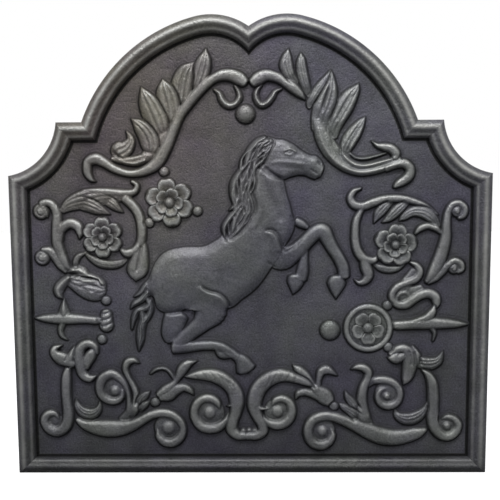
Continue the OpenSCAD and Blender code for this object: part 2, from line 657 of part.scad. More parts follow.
// ---- scrolls round the side roses
scroll_left_stems = [
    [[-211.5, 276, 1.2], [-212.5, 280, 3], [-216, 289.5, 4.2], [-207, 289.5, 4.4],
        [-201.5, 280, 5], [-201.5, 266, 5.6], [-201.8, 250, 5.8], [-199, 238, 6],
        [-195, 228, 5.2], [-190, 221, 2.5]],
    [[-218, 241.5, 2.6], [-210, 240, 4.8], [-203.8, 233, 5], [-198.8, 225, 4.6],
        [-193.5, 218, 2.5]],
    [[-198.5, 250, 3], [-197.5, 262, 5], [-188.5, 269, 5.4], [-180, 266, 5.4],
        [-177.5, 258.5, 3.8], [-178.5, 253, 0.8]],
    [[-122, 312, 2], [-117, 308, 2.8], [-120, 301.5, 3.6], [-131, 300, 4.2],
        [-148, 301.5, 4.4], [-163, 302.6, 3.2], [-174, 303.6, 0.8]],
    [[-130, 295, 5], [-119.5, 284.5, 5], [-114.3, 273, 5], [-112.8, 260, 5],
        [-114.5, 248, 4.8], [-120.5, 240, 4.6], [-129, 237.4, 4.8], [-137, 242.5, 0.8]]];
scroll_left_leaves = [
    [[-113.5, 252, 3], [-113, 242, 6], [-115.5, 231, 9.5], [-118.3, 220, 11], [-119.5, 213, 8],
        [-120, 208.8, 2]],
    [[-173, 238, 1.2], [-167, 232.2, 3], [-158, 227, 4.4], [-148, 225, 4.4], [-138, 226, 4],
        [-130, 230, 1.5]],
    [[-186, 291, 3], [-175, 290.5, 7], [-164, 287, 8], [-154, 282, 5.6], [-144.5, 280, 0.6]],
    [[-198, 279, 2.5], [-191, 284.5, 4], [-183, 285, 5], [-177, 282.5, 3], [-171, 280.8, 0.6]],
    [[-158, 299, 2.5], [-150, 294.6, 4.6], [-142, 288.4, 5.2], [-136, 284.6, 3.6],
        [-131, 281, 0.6]],
    [[-184, 222.5, 2.6], [-182.8, 229.5, 3.2], [-179.3, 234.4, 2.8], [-172.5, 237.3, 0.8]]];
scroll_left_balls = [[-217.8, 281.5, 8.2], [-218, 232.8, 7.8]];

scroll_right_stems = [
    [[115, 303.5, 1.4], [108, 300.5, 3.2], [104.6, 293.5, 4], [108.5, 286.8, 4.6],
        [117.5, 285.2, 4.8], [128, 289, 4.8], [140, 292.3, 4.6], [155, 293, 4.2],
        [170, 290, 3.6], [183, 284.5, 2.8], [195, 276, 0.8]],
    [[116, 281.5, 3], [111, 271, 4], [109.6, 260, 4.3], [110, 248, 4.6],
        [113, 237.5, 5], [119, 230.3, 5.2], [127, 228.2, 4.4], [132.5, 231, 2.8],
        [134.5, 235, 0.8]],
    [[118, 232, 4], [121, 222, 6], [123.5, 213, 5.6], [120, 207, 4.4], [114.5, 205, 2.8],
        [109.7, 207.8, 0.8]],
    [[216.5, 272, 2], [221.6, 275, 3.4], [222.6, 282, 4], [217, 287.4, 4],
        [210, 286, 4], [205.5, 278, 4.2], [204, 266, 4.8], [203.5, 252, 6],
        [200.5, 238, 6.8], [196.5, 226, 7.2], [190.5, 214.5, 5.8], [184, 205.5, 2.2]],
    [[216.5, 215.5, 2], [221, 219, 3.4], [219.2, 225, 4], [213, 227.6, 4],
        [206.8, 223.6, 4.2], [200, 216, 4.2], [193, 209, 3.8], [186.5, 204, 1.5]],
    [[172, 256, 1.5], [177, 261.6, 3.6], [185, 264.3, 3.6], [193, 262, 3.6], [199, 256, 1.5]]];
scroll_right_leaves = [
    [[147, 289, 2.5], [140, 284, 5.2], [133.8, 277, 4.8], [129.3, 267.8, 0.6]],
    [[164, 289, 2.5], [157, 284, 5.2], [149.5, 277, 5.2], [143.5, 271.5, 3.4],
        [138, 268.3, 0.6]],
    [[196, 264, 2.5], [189, 272.5, 5.6], [180, 278.5, 6.2], [169, 279, 5], [160, 273.5, 3.6],
        [155.5, 269.8, 0.6]],
    [[129, 224.5, 1], [136, 220.6, 3.6], [145, 218.6, 3.8], [154, 219.6, 2.8],
        [161, 223.5, 0.8]]];
scroll_right_balls = [[214.8, 279.3, 6], [212.8, 219.6, 5.8]];

module scroll(stems, leaves, balls) {
    for (v = stems) vine(v);
    for (v = leaves) leaf(v);
    for (b = balls) boss(b[0], b[1], b[2]);
}
module left_scroll() { scroll(scroll_left_stems, scroll_left_leaves, scroll_left_balls); }
module right_scroll() {
    scroll(scroll_right_stems, scroll_right_leaves, scroll_right_balls);
}
module scroll_left() {
    color(iron) raised(scroll_rise) difference() {
        left_scroll();
        clear_of() {
            left_rose(plug_rings);
            top_rose(plug_rings);
            bead_plugs();
            body(trunk);
            for (v = tail_locks) ridge(v);
        }
    }
}
module scroll_right() {
    color(iron) raised(scroll_rise) difference() {
        right_scroll();
        clear_of() right_rose(plug_rings);
    }
}

// ---- spindles with the leaf heads above and the leaf tails below
head_left_stems = [
    [[-190, 212, 3.5], [-196, 207, 5], [-201.5, 200, 5.6], [-201.5, 194, 4.6],
        [-198, 189.5, 1]],
    [[-170, 214, 2.5], [-176, 218, 5], [-183, 220.5, 4.4], [-190, 219, 2.6],
        [-195, 217, 0.8]],
    [[-189, 211.5, 1.5], [-176, 214, 3], [-164, 211.5, 3.6], [-156, 205.5, 3.6],
        [-153.8, 198, 1.5]],
    [[-186, 208, 1.5], [-175, 208.5, 3], [-165, 206.5, 3.2], [-158.8, 200.5, 1.8]],
    [[-183, 204, 1.5], [-173, 199.8, 4], [-165, 196.6, 3.8], [-157, 197, 1]]];
head_left_leaf = [[-192, 209, 5], [-182, 205, 9], [-170, 200, 12], [-160, 197.5, 11],
    [-154, 198, 5]];
head_right_stems = [
    [[180, 206, 1.5], [168, 206.5, 3.2], [156, 204.5, 3.6], [148.5, 197.5, 3.6],
        [147, 190, 1.5]],
    [[172, 200.5, 1.5], [162, 199, 3], [154.5, 194, 2.6], [153, 188.5, 1]],
    [[172, 195, 3], [180, 196.5, 4.6], [187.5, 196.5, 5.2], [193.5, 191.5, 5],
        [195, 185.5, 4.4], [193.5, 180, 1.5]]];
head_right_leaf = [[179, 202, 4], [171, 198, 9], [162, 193, 13.5], [154, 189.5, 11.5],
    [148.5, 188, 4]];
lobe_right_leaf = [[157, 206, 3], [163, 211.5, 8.5], [169.5, 216.5, 11], [175, 220.5, 8],
    [179, 224, 2]];
spindle_left_bar = [[-228, 168.5, 0.8], [-220, 168.3, 3.6], [-208, 168, 5.4],
    [-197, 167.8, 6.2], [-184, 167.5, 5.4], [-172, 166.8, 4.6], [-163, 165.8, 4.4],
    [-158, 166, 3]];
spindle_left_flare = [[-196.5, 189, 0.6], [-197, 181, 3.8], [-197, 172, 7]];
spindle_left_hook = [[-199, 163, 3.6], [-201.5, 155.5, 3], [-200, 149, 2.4],
    [-195, 145, 0.8]];
spindle_left_knobs = [[-152.3, 171.5, 6.2], [-152.5, 160.5, 7.4]];
spindle_right_bar = [[149, 159.5, 4], [158, 159.8, 5.3], [172, 160.5, 5.6],
    [184, 161.3, 6.4], [196, 161.6, 6.2], [208, 161.2, 5.4], [219, 160.7, 3.8],
    [229, 160.2, 0.8]];
spindle_right_flare = [[184, 165, 6], [187.5, 169.5, 6.4], [191, 174, 4.4],
    [193, 179.5, 0.8]];
spindle_right_hook = [[190, 158, 3], [194, 151, 2.2], [192.5, 142.5, 0.8]];

tail_left_stems = [
    [[-163, 130, 1.5], [-165.5, 138, 4], [-173, 141, 5], [-180.5, 136, 5.6],
        [-182.5, 127, 6], [-181, 116.5, 6.2], [-178.5, 107.5, 5.6], [-172, 103.5, 4.8],
        [-165, 105.5, 1.5]],
    [[-188, 118, 3.5], [-194, 121.5, 6.5], [-202, 125.5, 7.6], [-208, 130.5, 5.6],
        [-207.5, 136, 3.6], [-200.5, 139, 0.8]],
    [[-192, 115, 2.5], [-191.5, 126, 4.5], [-187.5, 137, 1]],
    [[-175, 114, 3], [-173.5, 122, 6], [-169.5, 129, 6], [-167.5, 134, 3.5]]];
tail_right_stems = [
    [[147.5, 128, 2.5], [151.5, 132.5, 4], [161, 134.5, 5.6], [168, 128, 7.6],
        [168.5, 118, 8], [167, 108, 7], [164.5, 101, 5], [162, 96, 1.2]],
    [[162, 127, 4.5], [155, 125, 7], [150, 124.5, 5.4], [146, 124.5, 2]],
    [[171, 137, 1.6], [176.5, 126, 4], [178.5, 114.5, 1.5]]];
tail_right_leaf = [[176, 120, 5.5], [183, 118.5, 7], [191, 118, 6.8], [198.5, 121.5, 5],
    [203, 130.5, 0.8]];

module spindle(bar, flare, hook) {
    vine(bar);
    ridge(flare, 1, tail_full_w);
    ridge(hook, 0.7);
}
module left_spindle() {
    spindle(spindle_left_bar, spindle_left_flare, spindle_left_hook);
    for (b = spindle_left_knobs) boss(b[0], b[1], b[2]);
}
module right_spindle() {
    spindle(spindle_right_bar, spindle_right_flare, spindle_right_hook);
}
module leaf_head_left() {
    color(iron_warm) raised(leaf_head_rise) difference() {
        union() {
            for (v = head_left_stems) ridge(v);
            leaf(head_left_leaf);
        }
        clear_of() {
            left_scroll();
            left_spindle();
            bead_plugs();
        }
    }
}
module leaf_head_right() {
    color(iron_warm) raised(leaf_head_rise) difference() {
        union() {
            for (v = head_right_stems) ridge(v);
            leaf(head_right_leaf);
            leaf(lobe_right_leaf);
        }
        clear_of() {
            right_scroll();
            right_spindle();
            bead_plugs();
        }
    }
}
module spindle_left() {
    color(iron_lit) raised(spindle_rise) difference() {
        left_spindle();
        clear_of() bead_plugs();
    }
}
module spindle_right() {
    color(iron_lit) raised(spindle_rise) difference() {
        right_spindle();
        clear_of() medallion_plug();
    }
}
module leaf_tail_left() {
    color(iron_warm) raised(leaf_tail_rise) difference() {
        for (v = tail_left_stems) vine(v, 1, tail_full_w);
        clear_of() {
            left_side_stem();
            left_base_scroll();
            left_spindle();
            bead_plugs();
        }
    }
}
module leaf_tail_right() {
    color(iron_warm) raised(leaf_tail_rise) difference() {
        union() {
            for (v = tail_right_stems) vine(v, 1, tail_full_w);
            leaf(tail_right_leaf);
        }
        clear_of() {
            right_side_stem();
            right_base_scroll();
            medallion_plug();
            bead_plugs();
        }
    }
}

// ---- side stems and the scrolls along the bottom
side_left_stem = [[-194.5, 114, 3.5], [-196.5, 104, 5.3], [-197.3, 90, 5.5],
    [-196.8, 76, 5.6], [-196, 63, 6.2], [-199, 51.5, 6.6], [-208, 45, 6.2],
    [-217, 48.3, 5.8], [-221.3, 56.5, 5.2], [-217.5, 64, 4.8], [-210.5, 64.8, 3.6],
    [-206.8, 60, 2], [-208.5, 56.5, 0.8]];
side_left_leaf = [[-187, 80, 1], [-185.5, 72.5, 4], [-180, 66, 6], [-172, 63.6, 6.3],
    [-165.3, 66.8, 4.8], [-162, 72.5, 2.4], [-162, 77.5, 0.6]];
side_right_stem = [[182, 111, 1.5], [188, 106, 4.2], [192.3, 97, 5.8], [193.6, 84, 6.3],
    [193.6, 71, 6.4], [194, 58, 6.8], [196.5, 48, 6.4], [203, 40.5, 5.6],
    [211.5, 39, 5.2], [218.3, 44, 4.8], [220.8, 51.5, 4.4], [216.5, 58, 4],
    [209, 60.3, 3.4], [203.5, 58, 1.2]];
side_right_ball = [208.5, 50.5, 5];
side_right_leaf = [[153.5, 68.3, 0.8], [156, 62, 3.8], [163, 58.2, 6.2], [172, 58.2, 6.8],
    [180, 62.6, 5.8], [185.3, 69, 3.2], [187.5, 76, 0.6]];

base_left_stems = [
    [[-187, 58, 2.5], [-179, 53.5, 6], [-167, 49.5, 8.4], [-153, 47.8, 9.6],
        [-139, 48.5, 8.6], [-128, 51.5, 6.8], [-117.5, 57, 5.6], [-106.5, 63, 5.2],
        [-95, 65.4, 5.2], [-84.3, 63, 5], [-76, 56, 4.6], [-73, 47.3, 4.3],
        [-76, 38.3, 5], [-84, 32.5, 5.4], [-93, 33.2, 5], [-99, 39.3, 3.8],
        [-100.3, 46, 1.2]],
    [[-137, 56, 6], [-130.5, 66, 4.5], [-130.2, 78, 3], [-131.8, 90, 3],
        [-137.8, 101.5, 4.4], [-148, 108, 5.4], [-157.5, 103, 5.8], [-161, 93, 5.4],
        [-158.5, 84, 5], [-151, 78.8, 4.6], [-143, 78.8, 4], [-137.8, 83.3, 3.2],
        [-137, 90, 2]],
    [[-119, 119.8, 0.8], [-124, 122.7, 3.2], [-130.3, 121, 4.2], [-133.4, 113.5, 3.6],
        [-130.8, 105, 3.2], [-126, 96, 3.4], [-122.8, 87, 3.8], [-122.6, 77.5, 4.4],
        [-125, 68, 5], [-131, 59, 3]]];
base_left_leaves = [
    [[-121, 72, 2.5], [-117, 80, 3.6], [-112, 85, 2.8], [-108.5, 88, 0.6]],
    [[-119, 68, 2.2], [-113.5, 73.6, 2.8], [-109, 77, 0.8]]];
base_left_balls = [[-88.5, 48.5, 7.8], [-145, 89.5, 6.2]];

base_right_stems = [
    [[186.5, 46.5, 2.5], [178, 43, 6.4], [166, 39.3, 8], [152, 37.4, 9], [138, 39.5, 9.4],
        [124, 45.3, 8.6], [112, 51, 7.2], [100, 56.3, 6.2], [88, 60.6, 5.8],
        [77, 61.3, 5.8], [66.5, 57, 5.8], [61.6, 48, 5.8], [62, 38.5, 5.8],
        [67, 31.6, 5.8], [75.5, 29.3, 5.8], [83.3, 33, 4.8], [87.2, 40, 3.6],
        [85.8, 47, 1.2]],
    [[107, 112.3, 0.8], [112.3, 114.6, 3.3], [119.5, 114, 4.6], [124.6, 109, 4.6],
        [123.6, 101.5, 4.6], [119.8, 93, 5], [118, 82, 5.6], [118.3, 70, 6.6],
        [121, 59, 7], [127, 50, 4]],
    [[124.5, 94, 2.2], [130, 99.5, 4.2], [140, 101, 4.8], [150, 98.3, 4.6],
        [156.8, 91.3, 4.3], [158, 82.5, 4.2], [154, 75, 4.4], [146, 72.3, 4.6],
        [138.3, 75.3, 4.2], [135, 82, 3.8], [137.3, 89, 3.2], [143.5, 91.5, 1.2]]];
base_right_leaves = [
    [[114, 66, 4], [107.5, 76, 3.6], [103, 82, 2.6], [100.5, 88, 0.6]],
    [[115, 59.5, 4.6], [104, 67.5, 3.4], [98.5, 71.5, 2.8], [94.5, 74.5, 0.8]]];
base_right_balls = [[76, 44.8, 6.4], [144.5, 83, 4.4]];

bud_left_stems = [
    [[-99, 84.5, 3], [-91, 90, 4.6], [-83.5, 95.6, 3.6], [-79, 101, 2.6], [-75.5, 107.5, 4],
        [-71.5, 114, 4.8], [-66, 119, 3.8], [-57.8, 121.4, 0.6]],
    [[-97, 81.5, 3], [-88, 84.5, 5.6], [-80, 90.3, 5], [-71.5, 93, 3.8], [-65, 89.8, 3],
        [-61.2, 84.8, 0.6]],
    [[-106.5, 108, 0.8], [-101, 112.3, 1.6], [-94, 113.8, 1.6], [-88, 111.6, 1.7],
        [-83.8, 106.5, 1.8], [-81, 101, 1.2]]];
bud_right_stems = [
    [[66, 94.5, 3], [72, 88, 6], [78.3, 82.6, 7.4], [83.6, 77, 5.4], [87, 73, 1.5]],
    [[67.5, 94.5, 1.8], [61, 101.5, 4], [55, 107.7, 4.8], [49.5, 112.8, 3.8],
        [45.3, 116.3, 0.8]],
    [[71.5, 92, 2.5], [72.3, 102, 2.8], [75.5, 110, 4.2], [82, 111.5, 4.2],
        [91.3, 105.6, 0.6]],
    [[47.6, 80, 0.8], [51, 86, 3.2], [58, 87.6, 3.5], [65, 85.3, 3.4], [72, 81.5, 3]]];

centre_left_stems = [
    [[-70, 104.5, 0.8], [-62, 106, 4], [-52, 107, 6], [-42, 106.4, 7.3], [-32, 103, 8],
        [-23, 96.3, 8], [-17.2, 88, 8.2], [-15, 78, 8.2], [-16, 67, 6.6],
        [-19.5, 56, 6], [-20.5, 47, 6.6], [-14, 40.5, 5.4], [-6, 40, 4.6]],
    [[-24.5, 64, 0.8], [-27.5, 56.5, 3.6], [-35, 49.8, 5.6], [-44, 47.8, 5.8],
        [-53, 50.6, 5.8], [-59, 58, 5.4], [-60.4, 67, 5], [-57, 76, 5], [-49.5, 81, 5],
        [-41, 80.5, 4.8], [-35.3, 75.5, 3.8], [-33.5, 69, 1.2]]];
centre_left_leaf = [[-13.5, 80, 2], [-17, 75.5, 2.8], [-25, 72.3, 0.8]];
centre_left_ball = [-44, 65, 7.4];
centre_right_stems = [
    [[66, 93.5, 0.8], [58, 98.5, 4.2], [48, 102.6, 5.4], [38, 105.6, 6.8],
        [28, 105.3, 7.8], [18, 101, 8.3], [9.5, 93, 8.6], [5, 83, 8.4], [3.6, 72, 7.6],
        [7, 61, 6], [11.5, 52.5, 5.6], [12.5, 45, 5.8], [6, 40, 5.2], [-1.5, 39.6, 4.4]],
    [[12.8, 62, 0.8], [17.5, 55.3, 3.8], [26, 51.8, 5.6], [35, 53.6, 5.8],
        [41.5, 60, 5.6], [43.4, 69, 5.2], [40.4, 77, 4.8], [33, 80.7, 4.4],
        [25.8, 78.5, 3.8], [22, 72.5, 1.2]]];
centre_right_leaf = [[4, 74, 2], [10, 70.5, 2.6], [18, 69.5, 0.8]];
centre_right_ball = [28.3, 66.5, 7.2];

// ---- the field the relief is drawn on, from its outermost pieces and the bare iron left
// between them and the border
tip_clearance = 2.5;
foot_clearance = 5;
crest_clearance = 15.6;
drawn_half_w = max([for (p = spindle_right_bar) p[0]]) + tip_clearance;
drawn_z0 = min([for (v = base_right_stems, p = v) p[1] - p[2]]) - foot_clearance;
drawn_z1 = max([for (v = acanthus_right_leaves, p = v) p[1] + p[2]]) + crest_clearance;
kx = (half_w - border_w) / drawn_half_w;
kz = (plate_h - 2 * border_w) / (drawn_z1 - drawn_z0);
kw = sqrt(kx * kz);

module left_side_stem() {
    vine(side_left_stem);
    leaf(side_left_leaf);
}
module right_side_stem() {
    vine(side_right_stem);
    leaf(side_right_leaf);
    boss(side_right_ball[0], side_right_ball[1], side_right_ball[2]);
}
module left_base_scroll() {
    scroll(base_left_stems, base_left_leaves, base_left_balls);
}
module right_base_scroll() {
    scroll(base_right_stems, base_right_leaves, base_right_balls);
}
module left_centre() { scroll(centre_left_stems, [centre_left_leaf], [centre_left_ball]); }
module right_centre() {
    scroll(centre_right_stems, [centre_right_leaf], [centre_right_ball]);
}
module side_stem_left() { color(iron) raised(side_stem_rise) left_side_stem(); }
module side_stem_right() { color(iron) raised(side_stem_rise) right_side_stem(); }
module base_scroll_left() {
    color(iron) raised(base_scroll_rise) difference() {
        left_base_scroll();
        clear_of() {
            left_side_stem();
            bead_plugs();
        }
    }
}
module base_scroll_right() {
    color(iron) raised(base_scroll_rise) difference() {
        right_base_scroll();
        clear_of() {
            right_side_stem();
            bead_plugs();
        }
    }
}
module bud_left() {
    color(iron_warm) raised(bud_rise) difference() {
        for (v = bud_left_stems) vine(v, 1, tail_full_w);
        clear_of() {
            left_centre();
            left_base_scroll();
            bead_plugs();
        }
    }
}
module bud_right() {
    color(iron_warm) raised(bud_rise) difference() {
        for (v = bud_right_stems) vine(v, 1, tail_full_w);
        clear_of() {
            right_centre();
            right_base_scroll();
            bead_plugs();
        }
    }
}
module centre_scroll_left() { color(iron_lit) raised(centre_rise) left_centre(); }
module centre_scroll_right() {
    color(iron_lit) raised(centre_rise) difference() {
        right_centre();
        clear_of() left_centre();
    }
}

back_plate();
border_bottom();
border_side_right();
border_cove_right();
border_step_right();
border_lobe_right();
border_lobe_left();
border_step_left();
border_cove_left();
border_side_left();
horse_body();
horse_head();
horse_mane();
horse_tail();
foreleg_near();
foreleg_far();
hindleg_near();
hindleg_far();
acanthus_left();
acanthus_right();
crest_hook_left();
crest_hook_right();
crest_ball();
rose_top();
rose_left();
rose_right();
scroll_left();
scroll_right();
leaf_head_left();
leaf_head_right();
spindle_left();
spindle_right();
medallion();
side_ball();
beads();
leaf_tail_left();
leaf_tail_right();
side_stem_left();
side_stem_right();
base_scroll_left();
base_scroll_right();
bud_left();
bud_right();
centre_scroll_left();
centre_scroll_right();
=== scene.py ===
"""Looks of the cast-iron fireback: relief, moulding, sooted and worn iron with painted shade and
highlight, and a soft white studio.
"""

import json
import logging
import math
from dataclasses import dataclass, field
from enum import Enum

import bpy
import numpy as np
from mathutils import Matrix, Vector
from mathutils.geometry import delaunay_2d_cdt
from numpy.typing import ArrayLike

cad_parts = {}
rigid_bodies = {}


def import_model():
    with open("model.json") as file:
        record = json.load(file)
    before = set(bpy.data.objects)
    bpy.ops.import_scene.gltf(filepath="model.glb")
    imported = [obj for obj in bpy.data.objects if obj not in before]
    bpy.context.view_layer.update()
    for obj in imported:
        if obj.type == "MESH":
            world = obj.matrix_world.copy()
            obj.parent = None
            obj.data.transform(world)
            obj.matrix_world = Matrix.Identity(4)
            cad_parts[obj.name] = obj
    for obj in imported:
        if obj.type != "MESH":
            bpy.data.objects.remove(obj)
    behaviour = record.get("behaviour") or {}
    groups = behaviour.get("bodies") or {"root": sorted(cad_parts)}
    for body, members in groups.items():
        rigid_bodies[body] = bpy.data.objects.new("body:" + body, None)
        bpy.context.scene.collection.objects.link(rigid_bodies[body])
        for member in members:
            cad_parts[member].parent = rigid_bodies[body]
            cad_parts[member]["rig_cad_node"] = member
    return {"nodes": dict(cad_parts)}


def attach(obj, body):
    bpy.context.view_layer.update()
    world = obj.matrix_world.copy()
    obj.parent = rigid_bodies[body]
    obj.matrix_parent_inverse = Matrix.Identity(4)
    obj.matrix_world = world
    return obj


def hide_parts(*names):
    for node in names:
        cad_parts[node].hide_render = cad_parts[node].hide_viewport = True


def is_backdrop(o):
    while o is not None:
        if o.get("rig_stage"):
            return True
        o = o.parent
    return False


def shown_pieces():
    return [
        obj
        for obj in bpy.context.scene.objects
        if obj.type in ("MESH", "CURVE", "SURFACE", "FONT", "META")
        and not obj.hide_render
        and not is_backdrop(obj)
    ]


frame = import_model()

log = logging.getLogger("fireback")

Rows = list[list[float]]
Array = np.ndarray

MM = 0.001
# the relief pieces reach this far into the plate, in mm
SEAT = 0.2
# thinnest skirt of a relief piece above the field, in mm
FILM = 0.03
# what the map holds for how far a point far from every form lies inside one, in mm
FAR_OUT = -99.0
# the least height that a form or a crease leaves, in mm
LEAST = 0.3
# how far off a line counts as out of its reach, in mm
NOWHERE = 1e9
# points of a drawn line for each stretch between two of its rows, and its least half width in mm
LINE_STEPS = 6
THINNEST = 0.35
WHITE = (1.0, 1.0, 1.0, 1.0)


# ---- drawing tools


class Section(Enum):
    """How a stem, leaf or lock of hair is rounded across."""

    ROUND = "round"
    LEAF = "leaf"
    RIDGE = "ridge"


# for each section, how flat its top is and how steep its sides are
ROUNDING = {Section.ROUND: (2.4, 0.55), Section.LEAF: (2.2, 0.5), Section.RIDGE: (1.3, 0.8)}


@dataclass(frozen=True)
class Stroke:
    """A form that runs along a line, with rows of [x, z, half width] in mm.

    flutes are grooves that run along it, each at a share of the half width. wave is how
    far the grooves swing to each side, as a share of the half width, and waves is how
    many times they do so. over says that it lies over the forms before it, with a
    crease along its outline. root is the share of its length, from its wider end, over
    which it grows out of what is under it.
    """

    rows: Rows
    section: Section = Section.ROUND
    share: float = 1.0
    full_width: float = 6.0
    flutes: tuple[float, ...] = ()
    flute_depth: float = 0.22
    wave: float = 0.0
    waves: float = 2.0
    over: bool = False
    root: float = 0.0


@dataclass(frozen=True)
class Loft:
    """A body between two outlines, with rows of [x, z, x, z, height] in mm.

    bevel is how far in from the outline the body is rounded, in mm.
    """

    rows: Rows
    bevel: float = 6.0


@dataclass(frozen=True)
class Knob:
    """A round knob, with its centre, radius and share of the height."""

    x: float
    z: float
    radius: float
    share: float = 0.85


@dataclass(frozen=True)
class Mark:
    """A crease (depth above 0) or a rib (depth below 0) along rows of [x, z, half width].

    lip is the height in mm of the swelling beside it: on the left of the line as it
    runs if above 0, on the right if below 0.
    """

    rows: Rows
    depth: float
    lip: float = 0.0


@dataclass(frozen=True)
class Overlap:
    """How a carving lies over what is under it.

    keep is the share of the lower form's height that stays, and groove and width are
    the depth and reach in mm of the crease along the upper form's outline. Where blend
    is above 0 the two run into each other over that many mm, without a crease.
    """

    keep: float = 0.6
    groove: float = 2.2
    width: float = 1.1
    blend: float = 0.0


Form = Stroke | Loft | Knob


@dataclass
class Carving:
    """One piece of the relief: the node that it stands for, its height and its forms."""

    node: str
    rise: float
    forms: list[Form]
    overlap: Overlap = field(default_factory=Overlap)


def smoothstep(low: float, high: float, value: Array) -> Array:
    """Returns 0 where the value is below low, 1 above high, with a smooth step between."""
    t = np.clip((value - low) / (high - low), 0.0, 1.0)
    return t * t * (3.0 - 2.0 * t)


def curve_through(rows: Rows, steps: int) -> Array:
    """Returns a dense smooth curve through the rows.

    Args:
        rows: Control rows of any width.
        steps: Points for each stretch between two rows.

    Returns:
        An array with one row for each point of the curve.
    """
    p = np.array(rows, dtype=float)
    n = len(p)
    t = (np.arange(steps) / steps)[:, None]
    out = []
    for i in range(n - 1):
        a, b, c, d = p[max(i - 1, 0)], p[i], p[i + 1], p[min(i + 2, n - 1)]
        out.append(
            0.5
            * (
                2 * b + (c - a) * t + (2 * a - 5 * b + 4 * c - d) * t**2
                + (3 * b - a - 3 * c + d) * t**3))
    out.append(p[-1:])
    return np.concatenate(out)


def blurred(field_map: Array, sigma: float) -> Array:
    """Returns the map blurred by a Gaussian.

    Args:
        field_map: The map, one value for each grid point.
        sigma: The blur's standard deviation in grid steps.

    Returns:
        The blurred map.
    """
    reach = max(1, int(math.ceil(sigma * 3)))
    k = np.exp(-0.5 * (np.arange(-reach, reach + 1) / sigma) ** 2)
    k /= k.sum()
    out = field_map
    for axis in (0, 1):
        pad = [(0, 0), (0, 0)]
        pad[axis] = (reach, reach)
        wide = np.pad(out, pad, mode="edge")
        size = out.shape[axis]
        total = np.zeros_like(out)
        for j, weight in enumerate(k):
            total += weight * (wide[j : j + size] if axis == 0 else wide[:, j : j + size])
        out = total
    return out


def cast_noise(shape: tuple[int, int], cell: float, seed: int) -> Array:
    """Returns smooth noise between about -1 and 1.

    Args:
        shape: Rows and columns of the grid.
        cell: Size of the noise's lumps in grid steps.
        seed: The seed.

    Returns:
        The noise map.
    """
    rng = np.random.default_rng(seed)
    rows = int(shape[0] / cell) + 3
    cols = int(shape[1] / cell) + 3
    coarse = rng.uniform(-1.0, 1.0, (rows, cols))
    y = np.arange(shape[0]) / cell
    x = np.arange(shape[1]) / cell
    iy, ix = y.astype(int), x.astype(int)
    ty, tx = (smoothstep(0.0, 1.0, v) for v in (y - iy, x - ix))
    top = coarse[iy][:, ix] * (1 - tx) + coarse[iy][:, ix + 1] * tx
    low = coarse[iy + 1][:, ix] * (1 - tx) + coarse[iy + 1][:, ix + 1] * tx
    return top * (1 - ty)[:, None] + low * ty[:, None]


# ---- the relief


@dataclass
class Sheet:
    """What one form gives on its window of the grid."""

    window: tuple[slice, slice]
    inside: Array
    height: Array
    grown: float | Array = 1.0


